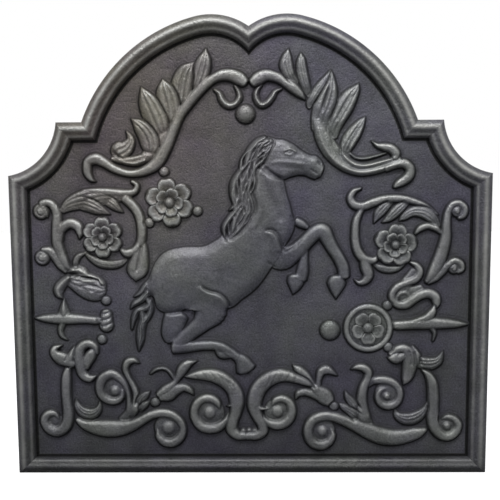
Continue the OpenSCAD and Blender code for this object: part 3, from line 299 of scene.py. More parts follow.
@dataclass
class Relief:
    """The whole relief as one height map over the field, in mm.

    Every carving owns its part of the map, so that neighbours meet in one surface. reach
    is how far past a form's outline the map is worked out, and skirt how far past it a
    piece goes on. nominal is the height of a full form. easing evens a body's height.
    fillet softens the foot of the walls, casting_blur all edges. crease_reach and
    hollow_reach are the sizes of the creases and hollows that get soot and painted shade,
    and of the rounds that get wear. A form that lies over another leaves shown_share of
    it, with a seam between. end_least and end_share are the length of a stem's rounded
    end, in mm and as a share of its half width. A leaf is tilted by leaf_tilt, and starts
    from its root at root_share of its height. What lies beneath sinks over lap_run, down
    to lap_floor. cut_* and lip_* are the reach, end and fade of a crease and of its lip.
    crown_wear is the share of wear on tops, and upper_highlight the share of painted
    highlight on what faces up.
    """

    x0: float = -234.0
    x1: float = 234.0
    z0: float = 16.0
    z1: float = 466.0
    pitch: float = 0.6
    reach: float = 4.8
    skirt: float = 4.2
    nominal: float = 6.0
    lumps: float = 0.16
    lump_sizes: tuple[float, float] = (9.0, 4.0)
    easing: float = 3.2
    fillet: float = 1.0
    fillet_reach: float = 0.9
    casting_blur: float = 0.5
    crease_reach: float = 1.5
    hollow_reach: float = 4.0
    flute_width: float = 0.13
    seam_depth: float = 2.2
    seam_width: float = 0.9
    seam_end: float = 2.0
    end_least: float = 1.3
    end_share: float = 0.45
    leaf_tilt: tuple[float, float] = (0.86, 0.16)
    root_share: float = 0.2
    lap_run: float = 1.6
    lap_floor: float = 0.4
    crease_end: float = 2.5
    cut_reach: float = 3.0
    cut_end: float = 2.0
    cut_fade: float = 0.16
    lip_reach: float = 12.0
    lip_width: float = 5.0
    shown_share: float = 0.3
    crown_wear: float = 0.15
    upper_highlight: float = 0.3
    names: list[str] = field(default_factory=list)

    def __post_init__(self) -> None:
        """Lays out the empty grid."""
        self.xs = np.arange(self.x0, self.x1 + self.pitch / 2, self.pitch)
        self.zs = np.arange(self.z0, self.z1 + self.pitch / 2, self.pitch)
        shape = (len(self.zs), len(self.xs))
        self.height = np.zeros(shape)
        self.inside = np.full(shape, FAR_OUT)
        self.owner = np.zeros(shape, dtype=int)
        self.soot = np.zeros(shape)
        self.rub = np.zeros(shape)

    def window(self, x: ArrayLike, z: ArrayLike, margin: float) -> tuple[slice, slice]:
        """Returns the slices of the grid that cover points and a margin round them.

        Args:
            x: Where the points lie across, in mm.
            z: Where they lie in height, in mm.
            margin: The margin in mm.

        Returns:
            The slice of rows and the slice of columns.
        """
        i0 = max(0, int((np.min(x) - margin - self.x0) / self.pitch))
        i1 = min(len(self.xs), int((np.max(x) + margin - self.x0) / self.pitch) + 2)
        j0 = max(0, int((np.min(z) - margin - self.z0) / self.pitch))
        j1 = min(len(self.zs), int((np.max(z) + margin - self.z0) / self.pitch) + 2)
        return slice(j0, j1), slice(i0, i1)

    def trace(self, rows: Rows, margin: float) -> tuple[tuple[slice, slice], dict[str, Array]]:
        """Finds the nearest point of a line for the grid points around it.

        Args:
            rows: Rows of [x, z, half width].
            margin: How far past the half width the line is wanted, in mm.

        Returns:
            The window, and maps of distance, side offset, half width, place along the
            line from 0 to 1, and how far a point lies past an end.
        """
        line = curve_through(rows, LINE_STEPS)
        half = np.maximum(line[:, 2], THINNEST)
        pts = line[:, :2]
        far = half.max() + margin
        rows_s, cols_s = self.window(pts[:, 0], pts[:, 1], far)
        shape = (rows_s.stop - rows_s.start, cols_s.stop - cols_s.start)
        best = {
            "distance": np.full(shape, NOWHERE), "offset": np.zeros(shape), "half": np.ones(shape),
            "along": np.zeros(shape), "past": np.zeros(shape)}
        last = len(pts) - 2
        for k in range(len(pts) - 1):
            a, b = pts[k], pts[k + 1]
            run = b - a
            length = float(np.hypot(*run))
            if length < 1e-6:
                continue
            room = max(half[k], half[k + 1]) + margin
            wr, wc = self.window([a[0], b[0]], [a[1], b[1]], room)
            x = self.xs[wc][None, :] - a[0]
            z = self.zs[wr][:, None] - a[1]
            t_free = (x * run[0] + z * run[1]) / length**2
            t = np.clip(t_free, 0.0, 1.0)
            dx, dz = x - t * run[0], z - t * run[1]
            dist = np.hypot(dx, dz)
            local = (
                slice(wr.start - rows_s.start, wr.stop - rows_s.start),
                slice(wc.start - cols_s.start, wc.stop - cols_s.start))
            near = dist < best["distance"][local]
            past = np.zeros_like(dist)
            if k == 0:
                past = np.maximum(past, -t_free * length)
            if k == last:
                past = np.maximum(past, (t_free - 1.0) * length)
            side = (run[0] * z - run[1] * x) / length
            lateral = np.where(past > 0, side, np.sign(side) * dist)
            found = {
                "distance": dist, "offset": lateral, "half": half[k] + (half[k + 1] - half[k]) * t,
                "along": (k + t) / (last + 1), "past": past}
            for name, value in found.items():
                best[name][local] = np.where(near, value, best[name][local])
        return (rows_s, cols_s), best

    def stroke(self, form: Stroke) -> Sheet:
        """Works out a form that runs along a line.

        Args:
            form: The form.

        Returns:
            Its window, how far each point lies inside its outline, and its height.
        """
        window, near = self.trace(form.rows, self.reach)
        half, side = near["half"], near["offset"]
        end = np.minimum(half, np.maximum(self.end_least, self.end_share * half))
        past = near["past"]
        q = np.hypot(side / half, past / end)
        cap = half * np.sqrt(np.clip(1.0 - (past / end) ** 2, 0.0, 1.0))
        clear = -np.hypot(np.maximum(np.abs(side) - cap, 0.0), np.maximum(past - end, 0.0))
        inside = np.where(past > 0, np.where(q < 1.0, (1.0 - q) * end, clear), half - np.abs(side))
        inside = np.where(near["distance"] >= NOWHERE, FAR_OUT, inside)
        c = np.clip(q, 0.0, 1.0)
        flatness, steepness = ROUNDING[form.section]
        shape = (1.0 - c**flatness) ** steepness
        if form.section is Section.LEAF:
            low_edge, tilt = self.leaf_tilt
            shape *= low_edge + tilt * (side / half)
        grown = np.ones_like(half)
        if form.root > 0:
            along = near["along"]
            if form.rows[0][2] < form.rows[-1][2]:
                along = 1.0 - along
            grown = smoothstep(0.0, form.root, along)
        swing = form.wave * np.sin(2 * np.pi * form.waves * near["along"])
        for place in form.flutes:
            gap = (side / half - place - swing * (1.0 - place**2)) / self.flute_width
            shape = shape * (1.0 - form.flute_depth * np.exp(-(gap**2)))
        height = (
            self.nominal * form.share * np.sqrt(np.clip(half / form.full_width, 0.0, 1.0)) * shape
            * (self.root_share + (1.0 - self.root_share) * grown))
        return Sheet(window, inside, height, grown)

    def loft(self, form: Loft) -> Sheet:
        """Works out a body between two outlines.

        Args:
            form: The body.

        Returns:
            Its window, how far each point lies inside its outline, and its height.
        """
        line = curve_through(form.rows, 8)
        room = self.reach
        window = self.window(line[:, [0, 2]], line[:, [1, 3]], room)
        x = self.xs[window[1]][None, :] + np.zeros((window[0].stop - window[0].start, 1))
        z = self.zs[window[0]][:, None] + np.zeros_like(x)
        inside = np.full(x.shape, FAR_OUT)
        height = np.zeros(x.shape)

        def past_line(row: Array) -> Array:
            """Signed distance of every point from the line across one row."""
            run = np.array([row[2] - row[0], row[3] - row[1]])
            run /= np.hypot(*run)
            return run[0] * (z - row[1]) - run[1] * (x - row[0])

        turn = self.turn_of(line)
        before = past_line(line[0]) * turn
        for k in range(len(line) - 1):
            after = past_line(line[k + 1]) * turn
            between = (before >= 0) & (after <= 0)
            if k == 0:
                between = (before >= -room) & (after <= 0)
            if k == len(line) - 2:
                between |= (before >= 0) & (after <= room)
            span = before - after
            u = np.clip(before / np.where(np.abs(span) < 1e-9, 1.0, span), 0.0, 1.0)
            row = [line[k][i] + (line[k + 1][i] - line[k][i]) * u for i in range(5)]
            rx, rz = row[2] - row[0], row[3] - row[1]
            width = np.hypot(rx, rz)
            v = 2.0 * ((x - row[0]) * rx + (z - row[1]) * rz) / width**2 - 1.0
            over = np.maximum(np.where(k == 0, -before, 0.0), 0.0)
            over = np.maximum(over, np.where(k == len(line) - 2, after, 0.0))
            dist = (1.0 - np.abs(v)) * width / 2.0 - over
            take = between & (dist > inside)
            c = np.clip(np.abs(v), 0.0, 1.0)
            dome = row[4] * (1.0 - 0.5 * c**2)
            inside = np.where(take, dist, inside)
            height = np.where(take, dome * (dist > 0), height)
            before = after
        inside[inside < -room] = FAR_OUT
        body = (inside > 0).astype(float)
        sigma = self.easing / self.pitch
        level = blurred(height, sigma) / np.maximum(blurred(body, sigma), 0.3)
        edge = body * np.clip(inside / form.bevel, 0.0, 1.0)
        slack = 1.0 / self.pitch
        edge = blurred(edge, slack) / np.maximum(blurred(body, slack), 0.3)
        height = body * level * (1.0 - (1.0 - edge) ** 2) ** 0.65
        return Sheet(window, inside, height)

    @staticmethod
    def turn_of(line: Array) -> float:
        """Returns 1 or -1 for the side on which the next row of a body lies."""
        a, b = line[0], line[min(6, len(line) - 1)]
        run = a[2:4] - a[0:2]
        step = (b[0:2] + b[2:4]) / 2 - (a[0:2] + a[2:4]) / 2
        return 1.0 if run[0] * step[1] - run[1] * step[0] > 0 else -1.0

    def knob(self, form: Knob) -> Sheet:
        """Works out a round knob.

        Args:
            form: The knob.

        Returns:
            Its window, how far each point lies inside its outline, and its height.
        """
        room = form.radius + self.reach
        window = self.window(form.x, form.z, room)
        x = self.xs[window[1]][None, :] - form.x
        z = self.zs[window[0]][:, None] - form.z
        r = np.hypot(x, z)
        c = np.clip(r / form.radius, 0.0, 1.0)
        return Sheet(window, form.radius - r, self.nominal * form.share * np.sqrt(1.0 - c**2.2))

    def sheet_of(self, form: Form) -> Sheet:
        """Works out any form."""
        if isinstance(form, Stroke):
            return self.stroke(form)
        if isinstance(form, Loft):
            return self.loft(form)
        return self.knob(form)

    def carve(self, carving: Carving) -> None:
        """Lays one carving over what is there.

        Args:
            carving: The carving.
        """
        self.names.append(carving.node)
        number = len(self.names)
        inside = np.full(self.height.shape, FAR_OUT)
        height = np.zeros(self.height.shape)
        for form in carving.forms:
            sheet = self.sheet_of(form)
            w = sheet.window
            own = sheet.height * (sheet.inside > 0)
            if isinstance(form, Stroke) and form.over:
                seam = self.seam_depth * np.exp(-((sheet.inside / self.seam_width) ** 2))
                seam *= sheet.inside > -self.seam_end
                lower = np.maximum(height[w] - seam * sheet.grown, LEAST) * (inside[w] > 0)
                kept = 1.0 - (1.0 - self.shown_share) * sheet.grown
                own = np.where(sheet.inside > 0, np.maximum(own, kept * lower), lower)
                height[w] = own
            inside[w] = np.maximum(inside[w], sheet.inside)
            height[w] = np.maximum(height[w], own)
        top = height.max()
        if top > 0:
            height *= carving.rise / top
        lap = carving.overlap
        there = self.inside > 0
        near = inside > -self.crease_end
        groove = lap.groove * np.exp(-((inside / lap.width) ** 2)) * near
        under = self.height * (1.0 - (1.0 - lap.keep) * smoothstep(0.0, self.lap_run, inside)) - groove
        merged = np.where(there, np.maximum(height, np.maximum(under, self.lap_floor)), height)
        if lap.blend > 0:
            low = self.height * there
            gap = np.clip(1.0 - np.abs(height - low) / lap.blend, 0.0, 1.0)
            merged = np.maximum(height, low) + lap.blend / 4.0 * gap**2 * there
        self.height = np.where(near, merged, self.height)
        takes = (inside > 0) | ((inside > self.inside) & (self.inside <= 0))
        self.owner = np.where(takes, number, self.owner)
        self.inside = np.maximum(self.inside, inside)

    def mark(self, mark: Mark) -> None:
        """Cuts a crease or raises a rib on the relief.

        Args:
            mark: The crease or rib.
        """
        window, near = self.trace(mark.rows, self.lip_reach if mark.lip else self.cut_reach)
        end = np.minimum(near["half"], self.cut_end)
        q = np.hypot(near["offset"] / near["half"], near["past"] / end)
        fade = smoothstep(0.0, self.cut_fade, near["along"])
        fade *= smoothstep(0.0, self.cut_fade, 1.0 - near["along"])
        cut = mark.depth * np.exp(-(q**2)) * (0.1 + 0.9 * fade)
        if mark.lip:
            side = near["offset"] / near["half"] * np.sign(mark.lip)
            swell = np.exp(-((side / self.lip_width) ** 2)) * (1.0 - np.exp(-(side**2)))
            cut -= abs(mark.lip) * swell * (side > 0) * fade * (near["past"] <= 0)
        cut *= smoothstep(0.4, 2.0, self.inside[window])
        self.height[window] = np.maximum(self.height[window] - cut, LEAST)

    def settle(self) -> None:
        """Softens the walls as sand casting does, and works out soot with painted shade, wear with
        painted highlight, and painted shade in hollows.
        """
        step = self.pitch
        out = np.clip(-self.inside, 0.0, 99.0)
        foot = self.fillet * np.exp(-((out / self.fillet_reach) ** 2))
        fillet = FILM + foot * (self.inside <= 0.6)
        large, small = self.lump_sizes
        lumps = cast_noise(self.height.shape, large / step, 3)
        lumps = lumps + 0.6 * cast_noise(self.height.shape, small / step, 8)
        rough = self.height + self.lumps * lumps * smoothstep(0.5, 3.0, self.height)
        soft = blurred(np.maximum(rough, fillet), self.casting_blur / step)
        rim = smoothstep(-self.skirt + 0.2, -1.2, self.inside)
        self.height = np.maximum(FILM, soft * rim + FILM * (1.0 - rim))
        hollow = blurred(self.height, self.crease_reach / step) - self.height
        wide = blurred(self.height, self.hollow_reach / step) - self.height
        # soot with painted shade where each form meets the field: the black line along every outline
        outline = np.where(
            self.inside > 0, np.exp(-((self.inside / 0.8) ** 2)),
            np.exp(-((np.maximum(out - 0.6, 0.0) / 1.25) ** 2)))
        # painted shadow: the outline's black is full along the lower sides of forms and a little along
        # their left sides, and weaker elsewhere
        near = blurred(np.clip(self.inside, -self.skirt, self.skirt), 0.8 / step)
        lean_z, lean_x = np.gradient(near, step)
        under = smoothstep(-0.8, 0.7, lean_z + 0.25 * lean_x)
        outline *= 0.7 + 0.3 * under
        # the black is the outline's, or soot with painted shade in creases, whichever is more
        self.soot = np.clip(np.maximum(outline, smoothstep(0.3, 1.3, hollow)), 0.0, 1.0)
        self.soot *= smoothstep(-self.skirt, -self.skirt + 1.2, self.inside)
        # wear on the rounded tops of tall forms
        self.rub = smoothstep(0.1, 1.4, -hollow) + 0.6 * smoothstep(0.5, 2.5, -wide)
        self.rub *= smoothstep(2.0, 5.0, self.height)
        # painted highlight on slopes that face up: more of the lighter colour there, and a band of it
        # along them
        rise_z, _ = np.gradient(blurred(self.height, 0.8 / step), step)
        upper = smoothstep(0.0, 0.6, -rise_z)
        crown = self.crown_wear * smoothstep(2.8, 5.2, self.height)
        crown *= smoothstep(0.8, 2.4, self.inside)
        brow = self.upper_highlight * upper * (self.inside > 1.2)
        self.rub = np.clip(self.rub * (0.55 + 0.6 * upper) + crown + brow, 0.0, 1.0)
        # painted shade in hollows
        self.deep = smoothstep(-0.5, 2.5, wide)
        self.ground = 1.0 - smoothstep(-0.9, 0.2, self.inside)

    def piece(self, node: str) -> bpy.types.Object:
        """Makes the closed piece that stands for one carving.

        Args:
            node: The carving's node.

        Returns:
            The new object.
        """
        number = self.names.index(node) + 1
        covered = self.inside > -self.skirt
        cell = covered[:-1, :-1] | covered[1:, :-1] | covered[:-1, 1:] | covered[1:, 1:]
        own = self.owner[:-1, :-1]
        for other in (self.owner[:-1, 1:], self.owner[1:, :-1], self.owner[1:, 1:]):
            own = np.where(own > 0, own, other)
        rows, cols = np.nonzero(cell & (own == number))
        wide = len(self.xs)
        a = rows * wide + cols
        quads = np.stack([a, a + 1, a + wide + 1, a + wide], axis=1)
        used, index = np.unique(quads, return_inverse=True)
        quads = index.reshape(-1, 4)
        r, c = np.divmod(used, wide)
        x, z = self.xs[c], self.zs[r]
        h = self.height[r, c]
        slope_z, slope_x = np.gradient(self.height, self.pitch)
        normal = np.stack([-slope_x[r, c], -np.ones(len(used)), -slope_z[r, c]], axis=1)
        normal /= np.linalg.norm(normal, axis=1)[:, None]

        n = len(used)
        edges = np.concatenate([quads[:, [i, (i + 1) % 4]] for i in range(4)])
        key = edges.min(axis=1) * n + edges.max(axis=1)
        _, where, count = np.unique(key, return_index=True, return_counts=True)
        rim = edges[where[count == 1]]
        rim_verts, rim_index = np.unique(rim, return_inverse=True)
        rim_local = rim_index.reshape(-1, 2)
        low = n + rim_local
        walls = np.stack([rim[:, 1], rim[:, 0], low[:, 0], low[:, 1]], axis=1)

        flat = [Vector((float(x[v]), float(z[v]))) for v in rim_verts]
        found = delaunay_2d_cdt(flat, [tuple(int(i) for i in e) for e in rim_local], [], 2, 1e-6)
        source = [o[0] for o in found[3]]
        back = np.array([[source[i] for i in f][::-1] for f in found[2]], dtype=int).reshape(-1, 3)

        verts = np.zeros((n + len(rim_verts), 3))
        verts[:n] = np.stack([x, -h, z], axis=1)
        verts[n:] = np.stack([x[rim_verts], np.full(len(rim_verts), SEAT), z[rim_verts]], axis=1)
        mesh = mesh_from_arrays(
            f"{node}_cast", verts * MM, [(quads, True), (walls, False), (back + n, False)])
        under = np.tile([0.0, 1.0, 0.0], (len(rim_verts), 1))
        mesh.normals_split_custom_set_from_vertices(np.concatenate([normal, under]).tolist())
        zero = np.zeros(len(rim_verts))
        for name in ("soot", "rub", "deep", "ground"):
            set_attribute(mesh, name, np.concatenate([getattr(self, name)[r, c], zero]))
        return linked(mesh.name, mesh)


def linked(name: str, data: bpy.types.ID) -> bpy.types.Object:
    """Returns a new object with that data, linked to the scene."""
    made = bpy.data.objects.new(name, data)
    bpy.context.scene.collection.objects.link(made)
    return made


def mesh_from_arrays(name: str, verts: Array, parts: list[tuple[Array, bool]]) -> bpy.types.Mesh:
    """Makes a mesh from arrays of points and faces.

    Args:
        name: The mesh's name.
        verts: One row of x, y, z for each point, in metres.
        parts: Arrays of faces, each with whether its faces are shaded smooth.

    Returns:
        The mesh.
    """
    mesh = bpy.data.meshes.new(name)
    mesh.vertices.add(len(verts))
    mesh.vertices.foreach_set("co", np.ascontiguousarray(verts, np.float32).ravel())
    loops = np.concatenate([faces.ravel() for faces, _ in parts])
    totals = np.concatenate([np.full(len(faces), faces.shape[1]) for faces, _ in parts])
    smooth = np.concatenate([np.full(len(faces), s) for faces, s in parts])
    starts = np.concatenate([[0], np.cumsum(totals)[:-1]])
    mesh.loops.add(len(loops))
    mesh.loops.foreach_set("vertex_index", loops.astype(np.int32))
    mesh.polygons.add(len(totals))
    mesh.polygons.foreach_set("loop_start", starts.astype(np.int32))
    mesh.polygons.foreach_set("use_smooth", smooth.astype(bool))
    mesh.update(calc_edges=True)
    mesh.validate()
    return mesh


def set_attribute(mesh: bpy.types.Mesh, name: str, values: Array) -> None:
    """Stores one number for each point of a mesh, under that name."""
    layer = mesh.attributes.get(name) or mesh.attributes.new(name, "FLOAT", "POINT")
    layer.data.foreach_set("value", np.ascontiguousarray(values, np.float32))


# ---- node tools


class Tree:
    """A node tree that is filled from the script."""

    def __init__(self, name: str, kind: str) -> None:
        """Starts an empty tree.

        Args:
            name: The tree's name.
            kind: The tree's type, such as GeometryNodeTree.
        """
        self.tree = bpy.data.node_groups.new(name, kind)
        self.nodes = self.tree.nodes

    def socket(self, name: str, kind: str, way: str = "INPUT", default: object = None) -> str:
        """Adds a named input or output and returns its identifier.

        Args:
            name: The socket's name.
            kind: Its socket type.
            way: INPUT or OUTPUT.
            default: Its default value, if it has one.

        Returns:
            The identifier.
        """
        item = self.tree.interface.new_socket(name=name, in_out=way, socket_type=kind)
        if default is not None:
            item.default_value = default
        return item.identifier

    def add(self, kind: str, inputs: dict[int | str, object] | None = None,
            **settings: object) -> bpy.types.Node:
        """Adds a node.

        Args:
            kind: The node's type.
            inputs: For each input, a value or the socket that feeds it.
            **settings: The node's own settings.

        Returns:
            The node.
        """
        node = self.nodes.new(kind)
        for name, value in settings.items():
            setattr(node, name, value)
        for key, value in (inputs or {}).items():
            if isinstance(value, bpy.types.NodeSocket):
                self.tree.links.new(value, node.inputs[key])
            else:
                node.inputs[key].default_value = value
        return node

    def maths(self, operation: str, *values: object, clamp: bool = False) -> bpy.types.NodeSocket:
        """Adds a sum on numbers and returns its result.

        Args:
            operation: The Math node's operation.
            *values: Numbers or sockets.
            clamp: Whether the result is kept from 0 to 1.

        Returns:
            The result.
        """
        return self.add(
            "ShaderNodeMath", dict(enumerate(values)), operation=operation, use_clamp=clamp).outputs[0]

    def times(self, a: object, b: object) -> bpy.types.NodeSocket:
        """Returns the product of two numbers or sockets."""
        return self.maths("MULTIPLY", a, b)

    def plus(self, a: object, b: object) -> bpy.types.NodeSocket:
        """Returns the sum of two numbers or sockets."""
        return self.maths("ADD", a, b)

    def vector(self, operation: str, inputs: dict[int | str, object]) -> bpy.types.NodeSocket:
        """Returns the vector that a sum on vectors gives."""
        return self.add("ShaderNodeVectorMath", inputs, operation=operation).outputs[0]


class ShaderTree(Tree):
    """The node tree of one material or of the world."""

    def __init__(self, owner: bpy.types.Material | bpy.types.World) -> None:
        """Empties the owner's tree and keeps it.

        Args:
            owner: The material or the world.
        """
        owner.use_nodes = True
        self.tree = owner.node_tree
        self.nodes = self.tree.nodes
        self.nodes.clear()


def plain_piece(
    source: bpy.types.Object, tree: bpy.types.NodeTree, inputs: dict[str, object],
    name: str,
) -> bpy.types.Object:
    """Runs a geometry tree on an object and keeps the result as a plain piece.

    Args:
        source: The object that holds the tree's own geometry; it is removed.
        tree: The geometry tree.
        inputs: Values by input identifier.
        name: The piece's name.

    Returns:
        The piece, whose mesh has no modifier.
    """
    modifier = source.modifiers.new("make", "NODES")
    modifier.node_group = tree
    for key, value in inputs.items():
        modifier[key] = value
    source.update_tag()
    bpy.context.view_layer.update()
    graph = bpy.context.evaluated_depsgraph_get()
    mesh = bpy.data.meshes.new_from_object(
        source.evaluated_get(graph), preserve_all_data_layers=True, depsgraph=graph)
    source.modifiers.remove(modifier)
    bpy.data.objects.remove(source)
    mesh.name = name
    return linked(name, mesh)


def loose_points(name: str, points: Array) -> bpy.types.Object:
    """Makes an object of loose points for a geometry tree to read.

    Args:
        name: Its name.
        points: One row of x, y, z for each point, in metres.

    Returns:
        The object.
    """
    mesh = bpy.data.meshes.new(name)
    mesh.from_pydata([tuple(p) for p in points.tolist()], [], [])
    return linked(name, mesh)


# ---- finishes


class Slot(Enum):
    """The record's material slots."""

    FIELD = "field_iron"
    BORDER = "border_iron"
    HORSE = "horse_iron"
    BOSS = "boss_iron"
    FOLIAGE = "foliage_iron"


FIELD_TONE = (0.062, 0.061, 0.07)
FIELD_ROUGHNESS = 0.52
# the middle of a slightly browner patch, in metres
WARM_SPOT = (-0.13, 0.0, 0.38)


@dataclass(frozen=True)
class IronFinish:
    """Black-leaded cast iron of one part of the fireback."""

    slot: Slot
    tone: tuple[float, float, float]
    # the lighter colour of wear and of painted highlight
    worn_and_lit: tuple[float, float, float]
    roughness: float = 0.5
    grain: float = 1.0
    # strengths of the soot with its painted shade, and of the wear with its painted highlight
    soot: float = 1.0
    rub: float = 1.0

    def material(self, skin: bpy.types.NodeTree) -> bpy.types.Material:
        """Makes the material.

        Args:
            skin: The shared group of sooted and worn iron, with its painted shade and highlight.

        Returns:
            The material.
        """
        made = bpy.data.materials.new(self.slot.value)
        t = ShaderTree(made)
        iron = t.add("ShaderNodeGroup", {
            "Tone": (*self.tone, 1.0), "Worn": (*self.worn_and_lit, 1.0), "Soot": self.soot,
            "Rub": self.rub, "Grain": self.grain, "Roughness": self.roughness},
            node_tree=skin).outputs
        shader = t.add("ShaderNodeBsdfPrincipled", {
            "Base Color": iron["Color"], "Roughness": iron["Roughness"],
            "Normal": iron["Normal"], "Metallic": 0.6, "Specular IOR Level": 0.2})
        t.add("ShaderNodeOutputMaterial", {"Surface": shader.outputs[0]})
        return made


def sooted_iron() -> bpy.types.NodeTree:
    """Makes the shader group that every iron finish shares.

    Returns:
        The group: tone darker low down as painted shade, wear with painted highlight, soot
        with painted shade, painted shade in hollows, roughness and the grain of the sand mould.
    """
    t = Tree("sooted_iron", "ShaderNodeTree")
    for name, grey in (("Tone", 0.08), ("Worn", 0.2)):
        t.socket(name, "NodeSocketColor", default=(grey, grey, grey, 1.0))
    for name, start in (("Soot", 1.0), ("Rub", 1.0), ("Grain", 1.0), ("Roughness", 0.5)):
        t.socket(name, "NodeSocketFloat", default=start)
    t.socket("Color", "NodeSocketColor", "OUTPUT")
    t.socket("Roughness", "NodeSocketFloat", "OUTPUT")
    t.socket("Normal", "NodeSocketVector", "OUTPUT")
    given = t.add("NodeGroupInput").outputs
    place = t.add("ShaderNodeTexCoord").outputs["Object"]

    def noise(scale: float, detail: float, rough: float = 0.5) -> bpy.types.NodeSocket:
        """A noise of that many lumps to the metre."""
        return t.add("ShaderNodeTexNoise", {
            "Vector": place, "Scale": scale, "Detail": detail, "Roughness": rough}).outputs["Fac"]

    def mapped(value: bpy.types.NodeSocket, low: float, high: float, to_low: float,
               to_high: float) -> bpy.types.NodeSocket:
        """The value moved from one range to another and kept in it."""
        return t.add("ShaderNodeMapRange", {
            0: value, 1: low, 2: high, 3: to_low, 4: to_high}).outputs[0]

    def mixed(amount: object, a: object, b: object, way: str = "MIX") -> bpy.types.NodeSocket:
        """Two colours mixed."""
        return t.add(
            "ShaderNodeMix", {0: amount, 6: a, 7: b}, data_type="RGBA", blend_type=way).outputs[2]

    patches = noise(7.0, 4.0, 0.55)
    blotches = noise(38.0, 5.0, 0.6)
    specks = noise(560.0, 3.0, 0.65)
    fine = noise(1500.0, 2.0, 0.6)
    soot, rub, deep, ground = (
        t.add("ShaderNodeAttribute", attribute_name=name).outputs["Fac"]
        for name in ("soot", "rub", "deep", "ground"))

    bright = mapped(patches, 0.3, 0.7, 0.76, 1.24)
    bright = t.times(bright, mapped(blotches, 0.3, 0.7, 0.8, 1.2))
    bright = t.times(bright, mapped(specks, 0.3, 0.7, 0.66, 1.34))
    height = t.add("ShaderNodeSeparateXYZ", {0: place}).outputs[2]
    # painted shade: all the iron is darker towards the floor, down to 0.68 of its tone at the bottom
    bright = t.times(bright, mapped(height, 0.0, 0.22, 0.68, 1.0))
    # painted shade on the bottom of the border: the iron within 16 mm of the floor is darkened down to
    # 0.3 and loses its lighter colour too
    foot = mapped(height, 0.002, 0.016, 0.3, 1.0)
    bright = t.times(bright, foot)
    own = mixed(ground, given["Tone"], (*FIELD_TONE, 1.0))
    tone = t.vector("SCALE", {0: own, "Scale": bright})
    warm_way = t.add("ShaderNodeVectorMath", {0: place, 1: WARM_SPOT}, operation="DISTANCE").outputs[
        "Value"]
    warm = mapped(warm_way, 0.04, 0.2, 0.85, 0.0)
    tint = mapped(noise(16.0, 3.0, 0.6), 0.35, 0.65, 0.0, 1.0)
    hue = mixed(tint, (0.95, 0.92, 1.08, 1.0), (1.01, 1.05, 0.97, 1.0))
    colour = mixed(1.0, tone, hue, "MULTIPLY")
    colour = mixed(warm, colour, (1.32, 1.14, 0.9, 1.0), "MULTIPLY")
    # the lighter colour: wear, with painted highlight where the relief faces up and on the bottom
    # border's top band, and less of it towards the floor as painted shade
    worn_and_lit_share = t.maths("MULTIPLY", rub, given["Rub"], clamp=True)
    worn_and_lit_share = t.times(worn_and_lit_share, mapped(blotches, 0.35, 0.65, 0.55, 1.0))
    worn_and_lit_share = t.times(worn_and_lit_share, mapped(height, 0.02, 0.3, 0.62, 1.0))
    colour = mixed(t.times(worn_and_lit_share, foot), colour, given["Worn"])
    # near black: soot with painted shade along outlines and in creases, and painted shade in hollows
    black = t.maths("MULTIPLY", soot, given["Soot"], clamp=True)
    black = t.maths("MULTIPLY", black, mapped(specks, 0.25, 0.6, 0.75, 1.0), clamp=True)
    black = t.maths("MAXIMUM", black, t.times(deep, 0.45))
    colour = mixed(black, colour, (0.003, 0.003, 0.003, 1.0))
    rough = t.maths("SUBTRACT", FIELD_ROUGHNESS, given["Roughness"])
    rough = t.plus(given["Roughness"], t.times(rough, ground))
    rough = t.plus(rough, mapped(blotches, 0.3, 0.7, -0.07, 0.07))
    rough = t.maths("ADD", rough, t.times(black, 0.3), clamp=True)

    pits = mapped(noise(210.0, 2.0), 0.25, 0.5, -0.5, 0.0)
    lumps = t.plus(t.plus(t.times(fine, 0.25), specks), pits)
    bump = t.add("ShaderNodeBump", {
        "Height": lumps, "Distance": 0.0006, "Strength": given["Grain"]}).outputs[0]
    t.add("NodeGroupOutput", {"Color": colour, "Roughness": rough, "Normal": bump})
    return t.tree


@dataclass
class Finishes:
    """The iron finishes of the whole fireback."""

    irons: tuple[IronFinish, ...] = (
        IronFinish(Slot.FIELD, FIELD_TONE, (0.2, 0.2, 0.2), FIELD_ROUGHNESS, 0.8),
        IronFinish(Slot.BORDER, (0.07, 0.07, 0.073), (0.25, 0.25, 0.24), 0.45),
        IronFinish(Slot.HORSE, (0.07, 0.071, 0.079), (0.26, 0.265, 0.26), grain=0.6, rub=0.62),
        IronFinish(Slot.BOSS, (0.085, 0.087, 0.089), (0.235, 0.24, 0.235), 0.42),
        IronFinish(Slot.FOLIAGE, (0.098, 0.1, 0.101), (0.275, 0.278, 0.268), 0.43))

    def make(self) -> None:
        """Makes the materials."""
        skin = sooted_iron()
        self.made = {iron.slot: iron.material(skin) for iron in self.irons}

    def dress(self, piece: bpy.types.Object, slot: Slot) -> None:
        """Gives a piece its finish and seats it on the body.

        Args:
            piece: The piece.
            slot: The finish.
        """
        piece.data.materials.clear()
        piece.data.materials.append(self.made[slot])
        if "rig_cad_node" not in piece:
            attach(piece, "root")


class Dressed:
    """Pieces that share one finish, each standing for a node of the frame."""

    slot: Slot
    pieces: dict[str, bpy.types.Object]

    def dress(self, finishes: Finishes) -> None:
        """Finishes the pieces and lets each one stand for its node.

        Args:
            finishes: The iron finishes.
        """
        for node, piece in self.pieces.items():
            finishes.dress(piece, self.slot)
            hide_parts(node)


# ---- the horse

